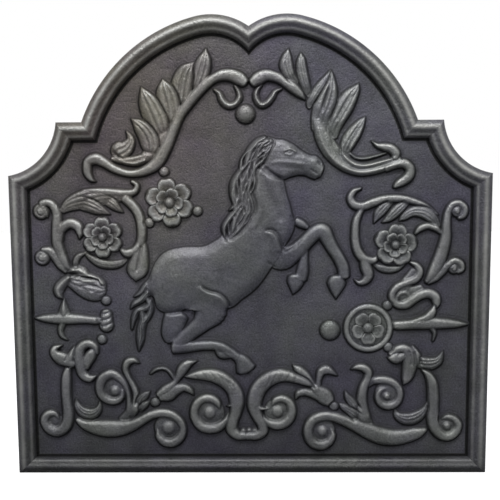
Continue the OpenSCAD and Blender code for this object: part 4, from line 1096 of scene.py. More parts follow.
TRUNK: Rows = [[-106, 212, -101, 190, 4], [-99, 228, -97, 177, 7.5], [-88, 239, -80, 172.5, 8.5],
    [-70, 243.5, -58, 181, 8.5], [-50, 244, -24, 178, 8], [-40, 248, -8, 188, 8], [-31, 254, 8, 201, 8],
    [-24, 262, 23, 222, 8.2], [-17, 272, 33, 238, 8], [-12, 284, 46, 262, 7.5], [-9, 298, 43, 283, 7.2],
    [-5, 315, 38, 300, 7], [0, 330, 35, 313, 6.5], [8, 345, 30, 322, 5]]
HEAD: Rows = [[19, 357.5, 8, 326, 4.5], [27, 355, 20, 317, 6.5], [36, 354, 34, 313, 7.5],
    [46, 349, 42, 315.5, 7.5], [54, 343, 50, 317.3, 7], [62, 338.5, 57, 317, 6.5],
    [69, 337.5, 63, 314.5, 6.8], [74.5, 332.5, 67.5, 313, 6]]
EAR: Rows = [[20, 349, 2.5], [22.5, 354, 2.8]]
EYE = Knob(41.2, 341.2, 1.9, 1.25)
MUZZLE = (Knob(69.2, 325.4, 7.2, 0.95), Knob(68.8, 318.9, 4.6, 0.8))
MANE_LOCKS: list[Rows] = [
    [[17, 356, 3], [9, 351.5, 4.5], [2, 343, 5], [-2, 334, 4.5], [-5.5, 325, 1.5]],
    [[20, 353, 3], [13, 348, 4], [8.5, 339, 4], [6.5, 330, 3], [6, 324.5, 1]],
    [[21, 349, 2], [17.5, 342, 3.5], [14.5, 334, 3.2], [11, 327, 1]],
    [[-3, 329, 3.4], [-10, 320, 4.2], [-15.5, 309, 5], [-16, 298, 4.8], [-14, 288, 4.2],
     [-21, 281.5, 0.8]],
    [[0, 326, 4.1], [-5, 315, 5.1], [-8, 303, 5.1], [-7, 292, 4.6], [-12, 283, 4.1], [-20, 274, 3.8],
     [-26.5, 263, 3.4], [-25, 250, 0.8]],
    [[3, 323, 3], [1, 311, 4], [-1, 300, 4.2], [2.5, 290, 4], [3.5, 281, 3], [0, 273, 0.8]],
    [[-2, 299, 3], [-4, 288, 5], [-3, 277, 5.2], [-8, 266, 5], [-15, 257.5, 3.6], [-21, 252, 0.8]],
    [[-9, 283, 4], [-14, 273, 5.2], [-17, 264, 4.5], [-18.5, 256, 1.5]]]
TAIL_LOCKS: list[Rows] = [
    [[-102, 209, 3.2], [-109, 203, 3.5], [-115, 195.5, 3], [-122, 191, 0.8]],
    [[-101, 204, 3.2], [-107, 196, 4], [-114, 188.5, 3.8], [-122, 183.5, 3], [-126, 178.5, 0.8]],
    [[-109, 190, 2], [-106.5, 182, 3.5], [-112, 178, 3.5], [-119, 176, 3.2], [-123, 168, 3],
     [-125.5, 156, 0.8]],
    [[-105, 187, 1.5], [-105, 178, 3], [-108, 170, 3.2], [-114, 163, 3.5], [-119.5, 154.5, 0.8]],
    [[-115, 176, 3], [-113.5, 166, 4.2], [-116, 155, 4.5], [-117, 144, 4], [-118.5, 133, 0.8]]]
NEAR_ARM: Rows = [[19.5, 240.5, 13], [33, 231.5, 12.8], [46, 237, 9.6], [57, 247, 8], [68, 257.5, 8],
    [76, 259, 8.5], [81.5, 250, 7.2], [86.5, 241, 6.5], [92.5, 231.5, 6.3], [97.3, 221, 6.4],
    [98.2, 211.4, 6.1]]
NEAR_HOOF: Rows = [[91, 210, 8], [90.5, 204, 9.6], [90, 197, 6.5], [90, 188.5, 0.8]]
FAR_ARM: Rows = [[48, 270, 4.5], [54, 267, 4.5], [60, 263, 2.5]]
FAR_CANNON: Rows = [[59.5, 239, 1.5], [56.5, 229, 4.5], [55, 218, 6.3], [53, 209, 6.5]]
FAR_HOOF: Rows = [[48, 211, 8.5], [47.5, 205, 8.5], [46.5, 199, 5.5], [45, 193.5, 0.8]]
NEAR_THIGH: Rows = [[-62, 216, 17], [-57, 200, 21], [-48, 186, 22], [-43.5, 175, 18.3],
    [-51, 163, 10.5], [-60, 155, 8.5], [-70, 146.5, 8], [-78, 139, 8.3]]
NEAR_SHANK: Rows = [[-81, 137, 7.5], [-69, 136.5, 6], [-55, 138.2, 5.5], [-42, 138.7, 5.4],
    [-31, 136.8, 5.2], [-21, 131, 5], [-14, 125.5, 5]]
NEAR_HEEL: Rows = [[-15, 126.5, 4.6], [-9, 121, 7.8], [-5, 112.8, 10.6]]
FAR_THIGH: Rows = [[-78, 171, 12.5], [-82, 160, 11.5], [-86, 150, 8.5], [-87, 142.5, 4]]
FAR_HEEL: Rows = [[-37, 134, 1.5], [-31.5, 128.5, 4], [-24, 127.5, 3.6], [-19, 126, 1.2]]

MANE_BED: Rows = [[24, 352, 4], [16, 347.5, 8], [8, 339.6, 9.5], [1.5, 329.5, 10], [-3, 318, 10],
    [-6, 306.4, 10.5], [-7.4, 293.5, 10.5], [-8, 281.8, 10], [-11.8, 271.5, 9], [-16.2, 261.1, 6.5],
    [-20.7, 252, 3]]

HORSE_CREASES: list[Mark] = [
    Mark([[15, 259.5, 1.6], [20, 261.3, 1.9], [25.3, 259.8, 2.1], [29.6, 255, 2.2], [32, 249, 2.1],
        [34, 242.5, 1.9], [35.2, 236.8, 1.5]], 1.9, -2.0),
    Mark([[35.2, 236.8, 1.2], [44.4, 242, 1.3], [54.8, 251.6, 1.2]], 0.9),
    Mark([[17, 229.5, 1.3], [26.1, 220.3, 1.6], [33.9, 215, 1.5], [41.7, 212.3, 1.2]], 1.4),
    Mark([[-51.2, 204.8, 1.2], [-48.4, 200.8, 1.4], [-42.1, 197.6, 1.6], [-33.8, 195.4, 1.7],
        [-27.8, 191.4, 1.7], [-23.9, 186.6, 1.6], [-21.8, 180, 1.4], [-22.7, 174.1, 1.2]], 1.7, -1.9),
    Mark([[27.4, 220.3, 2.6], [18.2, 209.8, 3.0], [5.1, 199.2, 3.2], [-8.1, 187.3, 3.0],
        [-18.7, 176.7, 2.4]], -0.35),
    Mark([[39, 314, 1.3], [31, 315.5, 1.7], [22, 320.5, 1.8], [15, 327, 1.5]], 1.5, -0.8),
    Mark([[10.9, 322, 3.0], [16, 308, 4.0], [22, 294, 4.5], [29, 280, 4.5], [34, 268, 3.5]], 1.5),
    Mark([[37.2, 306, 2.2], [40.5, 295, 2.8], [42.5, 284, 2.8], [43, 273, 2.4]], -1.0),
    Mark([[7, 308, 2.4], [10, 294, 3.0], [11.5, 281.7, 3.0], [8, 270, 2.6], [2, 261, 2.2]], -1.1),
    Mark([[34.7, 341.3, 0.8], [38, 343.5, 1.0], [42.4, 344.3, 1.1], [46.5, 342.5, 1.0],
        [48, 340.4, 0.8]], -1.5),
    Mark([[36.2, 339.6, 0.8], [40.6, 338.4, 0.9], [44.9, 339.1, 0.8]], -0.9),
    Mark([[22, 330, 1.8], [30, 331, 2.2], [39.3, 330.6, 2.2], [49.6, 329.5, 2.0],
        [59.3, 327.8, 1.6]], -1.0),
    Mark([[30, 325.5, 2.2], [39, 325, 2.6], [49, 324, 2.4], [57, 322.5, 1.8]], 0.7),
    Mark([[69.6, 330.8, 1.0], [72.4, 329.8, 1.2], [73.4, 327.6, 1.0]], 1.8),
    Mark([[62.5, 324.2, 0.9], [66.5, 320.9, 1.1], [70.7, 318.6, 0.9]], 1.5),
    Mark([[56, 336.5, 1.4], [50, 338.5, 1.8], [46, 337.2, 1.6]], 0.7),
]


@dataclass
class Horse(Dressed):
    """The rearing horse."""

    slot = Slot.HORSE
    relief: Relief
    body_rise: float = 8.4
    head_rise: float = 7.5
    mane_rise: float = 8.0
    tail_rise: float = 5.5
    near_leg_rise: float = 7.4
    far_leg_rise: float = 5.0
    strand_count: int = 8
    strand_seed: int = 5
    strand_spread: float = 0.95
    strand_swing: float = 0.2
    strand_waves: float = 3.4
    strand_half: float = 1.1
    strand_swell: float = 0.7
    swell_waves: float = 2.6
    nodes: tuple[str, ...] = (
        "horse_body", "horse_head", "horse_mane", "horse_tail", "foreleg_near", "foreleg_far",
        "hindleg_near", "hindleg_far")

    def carve(self) -> None:
        """Carves the horse, the farther parts first."""
        hair = Section.RIDGE
        under = Overlap(0.5, 2.0, 1.2)
        joint = Overlap(1.0, 0.0, 1.5, 5.0)
        for carving in (
            Carving("horse_tail", self.tail_rise, [
                Stroke(v, hair, 1.0, 4.0, (-0.3, 0.3), 0.4, 0.25) for v in TAIL_LOCKS], under),
            Carving("foreleg_far", self.far_leg_rise, [
                Stroke(FAR_ARM, full_width=5.0), Stroke(FAR_CANNON),
                Stroke(FAR_HOOF, share=1.05, full_width=8.0)], under),
            Carving("hindleg_far", self.far_leg_rise, [
                Stroke(FAR_THIGH, full_width=12.0),
                Stroke(FAR_HEEL, share=0.8, full_width=4.0)], under),
            Carving("horse_body", self.body_rise, [Loft(TRUNK, 12.0)], under),
            Carving("foreleg_near", self.near_leg_rise, [
                Stroke(NEAR_ARM, full_width=10.0, root=0.3),
                Stroke(NEAR_HOOF, share=0.8, full_width=9.0)], joint),
            Carving("hindleg_near", self.near_leg_rise, [
                Stroke(NEAR_THIGH, full_width=18.0, root=0.35),
                Stroke(NEAR_SHANK, share=0.75, full_width=7.0),
                Stroke(NEAR_HEEL, share=0.7, full_width=9.0)], joint),
            Carving("horse_head", self.head_rise, [
                Loft(HEAD, 7.0), Stroke(EAR, hair, 1.0, 2.8), EYE, *MUZZLE],
                Overlap(0.8, 1.2, 1.3)),
            Carving("horse_mane", self.mane_rise, [
                Stroke(MANE_BED, share=0.62, full_width=8.0),
                *(Stroke(v, hair, 0.9, 4.0) for v in MANE_LOCKS),
                *self.strands(MANE_BED)],
                Overlap(0.75, 1.6, 1.0)),
        ):
            self.relief.carve(carving)

    def strands(self, bed: Rows) -> list[Form]:
        """Lays wavy strands of hair along a bed.

        Args:
            bed: Rows of [x, z, half width] of the bed.

        Returns:
            The strands, side by side.
        """
        rng = np.random.default_rng(self.strand_seed)
        line = curve_through(bed, 3)
        run = np.gradient(line[:, :2], axis=0)
        side = np.stack([-run[:, 1], run[:, 0]], axis=1)
        side /= np.hypot(*side.T)[:, None]
        t = np.linspace(0.0, 1.0, len(line))
        forms: list[Form] = []
        for i in range(self.strand_count):
            place = self.strand_spread * ((i + 0.5) / self.strand_count * 2.0 - 1.0)
            wave = self.strand_swing * np.sin(2 * np.pi * (self.strand_waves * t + rng.uniform()))
            at = line[:, :2] + side * ((place + wave) * line[:, 2])[:, None]
            swell = np.sin(2 * np.pi * (self.swell_waves * t + rng.uniform())) ** 2
            half = self.strand_half + self.strand_swell * swell
            half *= np.clip(line[:, 2] / bed[1][2], 0.5, 1.3)
            rows = np.column_stack([at, half])[rng.integers(0, 3):: 2].tolist()
            forms.append(Stroke(rows, Section.RIDGE, 1.0, 2.2))
        return forms

    def build(self) -> None:
        """Makes the horse's pieces."""
        self.pieces = {n: self.relief.piece(n) for n in self.nodes}


# ---- crest and sprays

ACANTHUS_LEFT_STEM: Rows = [[-4, 411.5, 5], [-9.5, 416, 6.8], [-17, 419.5, 6.6], [-26, 420, 6],
    [-36, 416.5, 5], [-46, 409, 5.3], [-56, 399, 5.6], [-65, 388, 5.4], [-72, 378, 5.2],
    [-80, 360, 5.6], [-87, 345, 6.3], [-96, 331, 6.6], [-108, 323.3, 5.3], [-120, 320.4, 4],
    [-130, 321.5, 4], [-141, 326, 4.6], [-150, 331.8, 5.2], [-159, 335.8, 6.2], [-167, 332, 5.2],
    [-168, 322, 4.7], [-164.5, 315, 3], [-160.5, 312.3, 0.8]]
ACANTHUS_LEFT_RIB: Rows = [[-108, 334, 3.4], [-117, 330.8, 3], [-125, 331, 2.8], [-132, 333, 2.6],
    [-139, 337.5, 2]]
ACANTHUS_RIGHT_STEM: Rows = [[3.5, 411.5, 5], [9.5, 416, 6.8], [17, 419.3, 6.4], [25, 418.3, 5.5],
    [34, 414.5, 5.2], [44, 407.5, 5.6], [52, 400.5, 4.2], [57, 395, 1]]
ACANTHUS_RIGHT_RIB: Rows = [[104, 339, 1.4], [110, 334.8, 1.7], [119, 334, 1.7], [130, 336.4, 1.5],
    [141, 339.5, 0.8]]
HOOK_LEFT: Rows = [[-35.5, 405, 1.2], [-30.5, 401.5, 2.8], [-28, 395.5, 3.6], [-24.5, 391, 3.8],
    [-19, 388.8, 3.5], [-13, 391.5, 3.3], [-9.8, 397, 3.1], [-10.8, 403, 2.4], [-14.5, 409, 1]]
HOOK_RIGHT: Rows = [[33, 405.3, 1], [27.3, 402.8, 2.4], [23.5, 397, 3.2], [18.5, 391.3, 3.4],
    [12.5, 389.6, 3.4], [8.2, 394, 3.3], [7, 400, 3], [9, 405.5, 2.2], [13, 409.5, 1]]

SPRAY_LEFT_BED: Rows = [[-118, 331, 4], [-106, 338, 6], [-94.4, 350.5, 7], [-85, 364.5, 7],
    [-77, 377, 6], [-68, 389.7, 5], [-57.6, 404.7, 4], [-49.8, 417.2, 3]]
SPRAY_LEFT_LEAVES: list[Rows] = [
    [[-43.8, 445.6, 1], [-45.2, 436, 7], [-48.5, 424, 9], [-52.6, 411, 7.5], [-57.1, 402.2, 4]],
    [[-56.7, 432.3, 1], [-63.5, 424.3, 8.5], [-68.2, 411.8, 11], [-70, 397.3, 10.5], [-69.9, 387.2, 6]],
    [[-88.1, 415.5, 1], [-86.4, 406.9, 8.5], [-83.4, 394.3, 12], [-80.7, 379.7, 11.5],
     [-79.7, 368.2, 6]],
    [[-110.2, 407.6, 1], [-105.5, 397, 8.5], [-100, 384.3, 11.5], [-93.8, 370.6, 11.5],
     [-87.6, 356.9, 6]],
    [[-120.9, 375.9, 1], [-113.1, 369.5, 7], [-105.6, 359.2, 9.5], [-101.9, 348, 9.5],
     [-102.4, 337.8, 5]],
    [[-126.4, 363.5, 0.8], [-122.5, 355, 4.5], [-127, 347, 8], [-134, 343, 10], [-138, 339, 7]]]
SPRAY_LEFT_CURL: Rows = [[-142.5, 335.5, 2.5], [-132.2, 333.6, 3.5], [-121.8, 334.5, 3.5],
    [-112, 337, 3]]

SPRAY_RIGHT_BED: Rows = [[67.4, 379.4, 3.6], [71.2, 368.5, 6], [75.7, 356.6, 8], [82.6, 344.7, 9],
    [91.5, 335, 8.8], [102.2, 327, 7.6], [115.6, 323, 6.8], [130.9, 325, 6.6], [145.6, 329.2, 6],
    [155.5, 332, 4.8]]
SPRAY_RIGHT_LEAVES: list[Rows] = [
    [[40.4, 444.9, 0.8], [39, 439, 4.4], [38.1, 430.2, 6.9], [40, 422.7, 6.2], [43.2, 416.5, 5],
     [48.3, 410.8, 3.6]],
    [[53, 440.7, 0.8], [53.4, 435.1, 4.1], [53.6, 426.4, 5.6], [55.9, 415.1, 5.5], [59.1, 405.1, 4.3],
     [62.3, 397.5, 2.2]],
    [[118.5, 375.9, 0.9], [114.8, 370.5, 4.4], [108.7, 361.4, 7.2], [102.7, 352.2, 7.6], [99, 342.9, 6],
     [99.7, 334.4, 4.5]],
    [[111.8, 409.6, 0.9], [108.7, 404.1, 5], [102.7, 396, 8.4], [96.7, 385.9, 9.6], [91.3, 375.9, 8.6],
     [87, 366.3, 7.4], [84.5, 357, 6]],
    [[83.6, 423.3, 0.8], [83.8, 414.5, 4.4], [82.3, 405.3, 8.2], [79.6, 395.3, 10.6],
     [75.9, 385.3, 10.6], [73.2, 375.2, 9.4], [72.5, 364, 8]],
    [[83.1, 423.3, 0.7], [79.5, 417, 2.6], [73.3, 408.7, 4.1], [67.4, 400.1, 4.4], [62.7, 391.5, 3.8],
     [61.6, 386.5, 2]]]
SPRAY_RIGHT_CURL: Rows = [[126.5, 351.3, 0.7], [132, 347.4, 2.6], [138.9, 346, 4.2], [146.1, 344, 5],
    [150.6, 338.8, 5], [149.6, 333.2, 4]]
SPRAY_RIGHT_HOOK: Rows = [[140, 324.5, 4.6], [151.4, 328.6, 5], [159.9, 328.8, 5.2],
    [165.4, 323.5, 5.2], [164.8, 316.8, 5.4], [160.2, 312.2, 5.2], [153.7, 308.1, 4.2],
    [149.6, 304.7, 1.9]]

CREST_MARKS: list[Mark] = [
    Mark([[82.8, 363.3, 1.4], [85.4, 351.4, 2.4], [90.1, 340.4, 2.6], [98.4, 331, 2.2],
        [110.4, 323.9, 1.8], [122.4, 323.9, 1.6], [136, 327, 1.5], [147.9, 331, 1.2]], 1.6),
    Mark([[82.6, 408, 1.1], [79.6, 400.3, 1.6], [76.6, 390.3, 1.8], [75.3, 380.2, 1.4]], 1.5, -0.6),
    Mark([[106.1, 399.8, 1.2], [99.7, 390.1, 1.8], [94, 380.1, 1.8], [90.3, 371.7, 1.4]], 1.4, 0.6),
    Mark([[114.1, 367.8, 1], [108.1, 358.4, 1.5], [103, 349.6, 1.5], [100.7, 341.2, 1.2]], 1.3, 0.5),
    Mark([[70.5, 365.1, 1.2], [74.3, 352.4, 1.5], [79.8, 341.3, 1.6], [88.4, 331.4, 1.6],
        [100.1, 323.8, 1.6], [113.9, 320, 1.5], [128.4, 321.3, 1.5], [142.9, 325.7, 1.4],
        [153.1, 328.2, 1.3], [161.7, 327.5, 1.2]], -1.5),
    Mark([[91.3, 363.2, 1.2], [93.1, 351.4, 1.5], [96.3, 340.3, 1.6], [102.1, 332.3, 1.5],
        [110.4, 327.6, 1.4], [120.6, 327.2, 1.4], [132.6, 330.2, 1.4], [144.5, 333.7, 1.3],
        [153.8, 336, 1.2]], -1.5),
]


@dataclass
class Foliage(Dressed):
    """A group of sprays, scrolls and leaves, carved in the order given."""

    slot = Slot.FOLIAGE
    relief: Relief
    carvings: list[Carving]

    def carve(self) -> None:
        """Carves the group, what lies lowest first."""
        for carving in self.carvings:
            self.relief.carve(carving)

    def build(self) -> None:
        """Makes the group's pieces."""
        self.pieces = {c.node: self.relief.piece(c.node) for c in self.carvings}


def stems(rows: list[Rows], full_width: float = 6.0, root: float = 0.0) -> list[Form]:
    """Returns round stems along the lines, at full height from a half width of full_width."""
    return [Stroke(v, full_width=full_width, root=root) for v in rows]


def ridges(rows: list[Rows], full_width: float = 4.0) -> list[Form]:
    """Returns ridged blades along the lines, at full height from a half width of full_width."""
    return [Stroke(v, Section.RIDGE, full_width=full_width) for v in rows]


def leaves(rows: list[Rows], root: float = 0.22) -> list[Form]:
    """Returns full leaves with two folds along the given lines.

    Args:
        rows: The lines.
        root: The share of a leaf's length over which it grows out of what is under it.

    Returns:
        The leaves.
    """
    return [
        Stroke(v, Section.LEAF, 0.95, 8.0, (-0.28, 0.26), 0.24, 0.15, 0.5, True, root) for v in rows]


def coils(rows: Rows) -> list[Form]:
    """Returns the low iron that fills the coils of a scroll, from rows of x, z and radius."""
    return [Knob(x, z, radius, 0.42) for x, z, radius in rows]


def fuller(rows: list[Rows], by: float = 1.2) -> list[Rows]:
    """Returns the lines with their half widths made that many times larger."""
    return [[[x, z, half * by] for x, z, half in line] for line in rows]


def knobs(rows: Rows) -> list[Form]:
    """Returns round knobs from rows of x, z, radius and, if given, share of the height."""
    return [Knob(*v) for v in rows]


def crest(relief: Relief) -> Foliage:
    """Lays out the two acanthus sprays and the hooks under the crest.

    Args:
        relief: The relief.

    Returns:
        The group.
    """
    return Foliage(relief, [
        Carving("crest_hook_left", 5.0, ridges([HOOK_LEFT])),
        Carving("crest_hook_right", 5.0, ridges([HOOK_RIGHT])),
        Carving("acanthus_right", 6.5, [
            Stroke(SPRAY_RIGHT_BED, share=0.75, full_width=7.0),
            *stems([ACANTHUS_RIGHT_STEM]), *leaves(SPRAY_RIGHT_LEAVES, 0.34),
            Stroke(ACANTHUS_RIGHT_RIB, Section.RIDGE, 0.85, 4.0),
            *stems([SPRAY_RIGHT_CURL, SPRAY_RIGHT_HOOK])]),
        Carving("acanthus_left", 6.5, [
            Stroke(SPRAY_LEFT_BED, share=0.62, full_width=6.0),
            *leaves(SPRAY_LEFT_LEAVES), Stroke(SPRAY_LEFT_CURL, share=0.8),
            Stroke(ACANTHUS_LEFT_RIB, Section.RIDGE, 0.85, 4.0),
            *stems([ACANTHUS_LEFT_STEM])]),
    ])


# ---- side scrolls

SCROLL_LEFT_STEMS: list[Rows] = [
    [[-211.5, 276, 1.2], [-212.5, 280, 3], [-216, 289.5, 4.2], [-207, 289.5, 4.4], [-201.5, 280, 5],
     [-201.5, 266, 5.6], [-201.8, 250, 5.8], [-199, 238, 6], [-195, 228, 5.2], [-190, 221, 2.5]],
    [[-218, 241.5, 2.6], [-210, 240, 4.8], [-203.8, 233, 5], [-198.8, 225, 4.6], [-193.5, 218, 2.5]],
    [[-198.5, 250, 3], [-197.5, 262, 5], [-188.5, 269, 5.4], [-180, 266, 5.4], [-177.5, 258.5, 3.8],
     [-178.5, 253, 0.8]],
    [[-122, 312, 2], [-117, 308, 2.8], [-120, 301.5, 3.6], [-131, 300, 4.2], [-148, 301.5, 4.4],
     [-163, 302.6, 3.2], [-174, 303.6, 0.8]],
    [[-130, 295, 5], [-119.5, 284.5, 5], [-114.3, 273, 5], [-112.8, 260, 5], [-114.5, 248, 4.8],
     [-120.5, 240, 4.6], [-129, 237.4, 4.8], [-137, 242.5, 0.8]]]
SCROLL_LEFT_TONGUE: Rows = [[-113.5, 252, 3], [-113, 242, 6], [-115.5, 231, 9.5], [-118.3, 220, 11],
    [-119.5, 213, 8], [-120, 208.8, 2]]
SCROLL_LEFT_LEAVES: list[Rows] = [
    [[-173, 238, 1.2], [-167, 232.2, 3], [-158, 227, 4.4], [-148, 225, 4.4], [-138, 226, 4],
     [-130, 230, 1.5]],
    [[-184, 222.5, 2.6], [-182.8, 229.5, 3.2], [-179.3, 234.4, 2.8], [-172.5, 237.3, 0.8]]]
SCROLL_LEFT_BALLS: Rows = [[-217.8, 281.5, 8.2], [-218, 232.8, 7.8]]
SCROLL_RIGHT_STEMS: list[Rows] = [
    [[115, 303.5, 1.4], [108, 300.5, 3.2], [104.6, 293.5, 4], [108.5, 286.8, 4.6], [117.5, 285.2, 4.8],
     [128, 289, 4.8], [140, 292.3, 4.6], [155, 293, 4.2], [170, 290, 3.6], [183, 284.5, 2.8],
     [195, 276, 0.8]],
    [[116, 281.5, 3], [111, 271, 4], [109.6, 260, 4.3], [110, 248, 4.6], [113, 237.5, 5],
     [119, 230.3, 5.2], [127, 228.2, 4.4], [132.5, 231, 2.8], [134.5, 235, 0.8]],
    [[118, 232, 4], [121, 222, 6], [123.5, 213, 5.6], [120, 207, 4.4], [114.5, 205, 2.8],
     [109.7, 207.8, 0.8]],
    [[216.5, 272, 2], [221.6, 275, 3.4], [222.6, 282, 4], [217, 287.4, 4], [210, 286, 4],
     [205.5, 278, 4.2], [204, 266, 4.8], [203.5, 252, 6], [200.5, 238, 6.8], [196.5, 226, 7.2],
     [190.5, 214.5, 5.8], [184, 205.5, 2.2]],
    [[216.5, 215.5, 2], [221, 219, 3.4], [219.2, 225, 4], [213, 227.6, 4], [206.8, 223.6, 4.2],
     [200, 216, 4.2], [193, 209, 3.8], [186.5, 204, 1.5]],
    [[172, 256, 1.5], [177, 261.6, 3.6], [185, 264.3, 3.6], [193, 262, 3.6], [199, 256, 1.5]]]
SCROLL_RIGHT_LEAVES: list[Rows] = [
    [[147, 289, 2.5], [140, 284, 5.2], [133.8, 277, 4.8], [129.3, 267.8, 0.6]],
    [[164, 289, 2.5], [157, 284, 5.2], [149.5, 277, 5.2], [143.5, 271.5, 3.4], [138, 268.3, 0.6]],
    [[196, 264, 2.5], [189, 272.5, 5.6], [180, 278.5, 6.2], [169, 279, 5], [160, 273.5, 3.6],
     [155.5, 269.8, 0.6]],
    [[129, 224.5, 1], [136, 220.6, 3.6], [145, 218.6, 3.8], [154, 219.6, 2.8], [161, 223.5, 0.8]]]
SCROLL_RIGHT_BALLS: Rows = [[214.8, 279.3, 6], [212.8, 219.6, 5.8]]
SCROLL_LEFT_FAN: Rows = [[-196, 281.5, 3], [-188, 288, 7], [-176, 293, 9.6], [-163, 295.6, 9.8],
    [-148, 297, 8.8], [-135, 298, 7], [-124, 299, 5]]
SCROLL_LEFT_TIPS: list[Rows] = [
    [[-180, 291, 6.5], [-168, 288, 7.4], [-157, 283, 5.6], [-146.5, 278.4, 0.8]],
    [[-154, 296, 4.5], [-145, 290.5, 5.6], [-138.5, 285, 4.2], [-132.7, 280.4, 0.8]]]
COIL_MARKS: list[Mark] = [
    Mark([[x + r * math.cos(a), z + r * math.sin(a), 1.0]
          for a in np.radians(np.linspace(start, start + turn, 9))], 1.5)
    for x, z, r, start, turn in [
        (-217.8, 281.5, 4.4, 80, 250), (-218, 232.8, 4.2, 80, 250),
        (214.8, 279.3, 3.4, 60, -250), (212.8, 219.6, 3.4, 60, -250)]
] + [
    Mark([[-113, 247, 1.3], [-115.5, 232, 2.2], [-119, 217, 1.5]], 1.6, -0.8),
]


def side_scrolls(relief: Relief) -> Foliage:
    """Lays out the scrolls round the side roses.

    Args:
        relief: The relief.

    Returns:
        The group.
    """
    return Foliage(relief, [
        Carving("scroll_left", 6.0, [
            Stroke(SCROLL_LEFT_FAN, Section.LEAF, 0.9, 9.0, (0.45, -0.1, -0.5), 0.2, 0.1),
            *leaves(SCROLL_LEFT_TIPS, 0.5), *leaves(SCROLL_LEFT_LEAVES),
            *stems(SCROLL_LEFT_STEMS), *stems([SCROLL_LEFT_TONGUE], 9.0),
            *knobs(SCROLL_LEFT_BALLS)]),
        Carving("scroll_right", 6.0, [
            *stems(SCROLL_RIGHT_STEMS), *leaves(SCROLL_RIGHT_LEAVES),
            *knobs(SCROLL_RIGHT_BALLS)]),
    ])


# ---- spindles and leaves

HEAD_LEFT_STEMS: list[Rows] = [
    [[-190, 212, 3.5], [-196, 207, 5], [-201.5, 200, 5.6], [-201.5, 194, 4.6], [-198, 189.5, 1]],
    [[-170, 214, 2.5], [-176, 218, 5], [-183, 220.5, 4.4], [-190, 219, 2.6], [-195, 217, 0.8]],
    [[-189, 211.5, 1.5], [-176, 214, 3], [-164, 211.5, 3.6], [-156, 205.5, 3.6], [-153.8, 198, 1.5]],
    [[-186, 208, 1.5], [-175, 208.5, 3], [-165, 206.5, 3.2], [-158.8, 200.5, 1.8]],
    [[-183, 204, 1.5], [-173, 199.8, 4], [-165, 196.6, 3.8], [-157, 197, 1]]]
HEAD_LEFT_LEAF: Rows = [[-192, 209, 5], [-182, 205, 9], [-170, 200, 12], [-160, 197.5, 11],
    [-154, 198, 5]]
SPINDLE_LEFT_BAR: Rows = [[-228, 168.5, 0.8], [-220, 168.3, 3.6], [-208, 168, 5.4], [-197, 167.8, 6.2],
    [-184, 167.5, 5.4], [-172, 166.8, 4.6], [-163, 165.8, 4.4], [-158, 166, 3]]
SPINDLE_LEFT_FLARE: Rows = [[-196.5, 189, 0.6], [-197, 181, 3.8], [-197, 172, 7]]
SPINDLE_LEFT_HOOK: Rows = [[-199, 163, 3.6], [-201.5, 155.5, 3], [-200, 149, 2.4], [-195, 145, 0.8]]
SPINDLE_LEFT_KNOBS: Rows = [[-152.3, 171.5, 6.2], [-152.5, 160.5, 7.4]]
SPINDLE_RIGHT_BAR: Rows = [[149, 159.5, 4], [158, 159.8, 5.3], [172, 160.5, 5.6], [184, 161.3, 6.4],
    [196, 161.6, 6.2], [208, 161.2, 5.4], [219, 160.7, 3.8], [229, 160.2, 0.8]]
SPINDLE_RIGHT_HOOK: Rows = [[190, 158, 3], [194, 151, 2.2], [192.5, 142.5, 0.8]]
TAIL_LEFT_STEMS: list[Rows] = [
    [[-163, 130, 1.5], [-165.5, 138, 4], [-173, 141, 5], [-180.5, 136, 5.6], [-182.5, 127, 6],
     [-181, 116.5, 6.2], [-178.5, 107.5, 5.6], [-172, 103.5, 4.8], [-165, 105.5, 1.5]],
    [[-188, 118, 3.5], [-194, 121.5, 6.5], [-202, 125.5, 7.6], [-208, 130.5, 5.6], [-207.5, 136, 3.6],
     [-200.5, 139, 0.8]],
    [[-192, 115, 2.5], [-191.5, 126, 4.5], [-187.5, 137, 1]],
    [[-175, 114, 3], [-173.5, 122, 6], [-169.5, 129, 6], [-167.5, 134, 3.5]]]
TAIL_RIGHT_STEMS: list[Rows] = [
    [[147.5, 128, 2.5], [151.5, 132.5, 4], [161, 134.5, 5.6], [168, 128, 7.6], [168.5, 118, 8],
     [167, 108, 7], [164.5, 101, 5], [162, 96, 1.2]],
    [[162, 127, 4.5], [155, 125, 7], [150, 124.5, 5.4], [146, 124.5, 2]],
    [[171, 137, 1.6], [176.5, 126, 4], [178.5, 114.5, 1.5]]]
TAIL_RIGHT_LEAF: Rows = [[176, 120, 5.5], [183, 118.5, 7], [191, 118, 6.8], [198.5, 121.5, 5],
    [203, 130.5, 0.8]]


SNAIL: Rows = [[166.5, 226.6, 1.2], [173.6, 223.2, 3.4], [177, 216.2, 4.4], [173.4, 208.9, 4.4],
    [164.5, 205, 4.2], [154.8, 200.8, 4.2], [149.2, 193.8, 4.2], [149.6, 186.5, 4.2],
    [155.4, 181.7, 4.6], [163.8, 182.2, 5.2], [170.7, 187.3, 5.4], [178.6, 192, 5.4], [187, 193.6, 5.4],
    [193.4, 190, 5.4], [195.2, 183.8, 4.6], [193.6, 178, 2.4]]
SNAIL_CURL: Rows = [[154.6, 184.5, 1.2], [154, 189, 2.2], [157, 193, 2.6], [162.4, 194, 2.6],
    [166, 190.9, 2.2], [164.4, 187, 1.8], [160.3, 186, 1.1]]
SNAIL_BED: Rows = [[172, 217, 4.5], [166, 209, 5], [160, 195, 9.5], [168, 194, 7], [180, 199, 4]]
FLARE_RIGHT: Rows = [[165.8, 163.2, 2], [176.2, 164.5, 3.6], [186, 167.8, 5], [191, 173.4, 4.6],
    [193, 179.3, 1.8]]

KNOT: Rows = [[-152.3, 176, 4.6], [-152.4, 171, 6.2], [-152.5, 162, 6.8], [-152.5, 156, 5]]

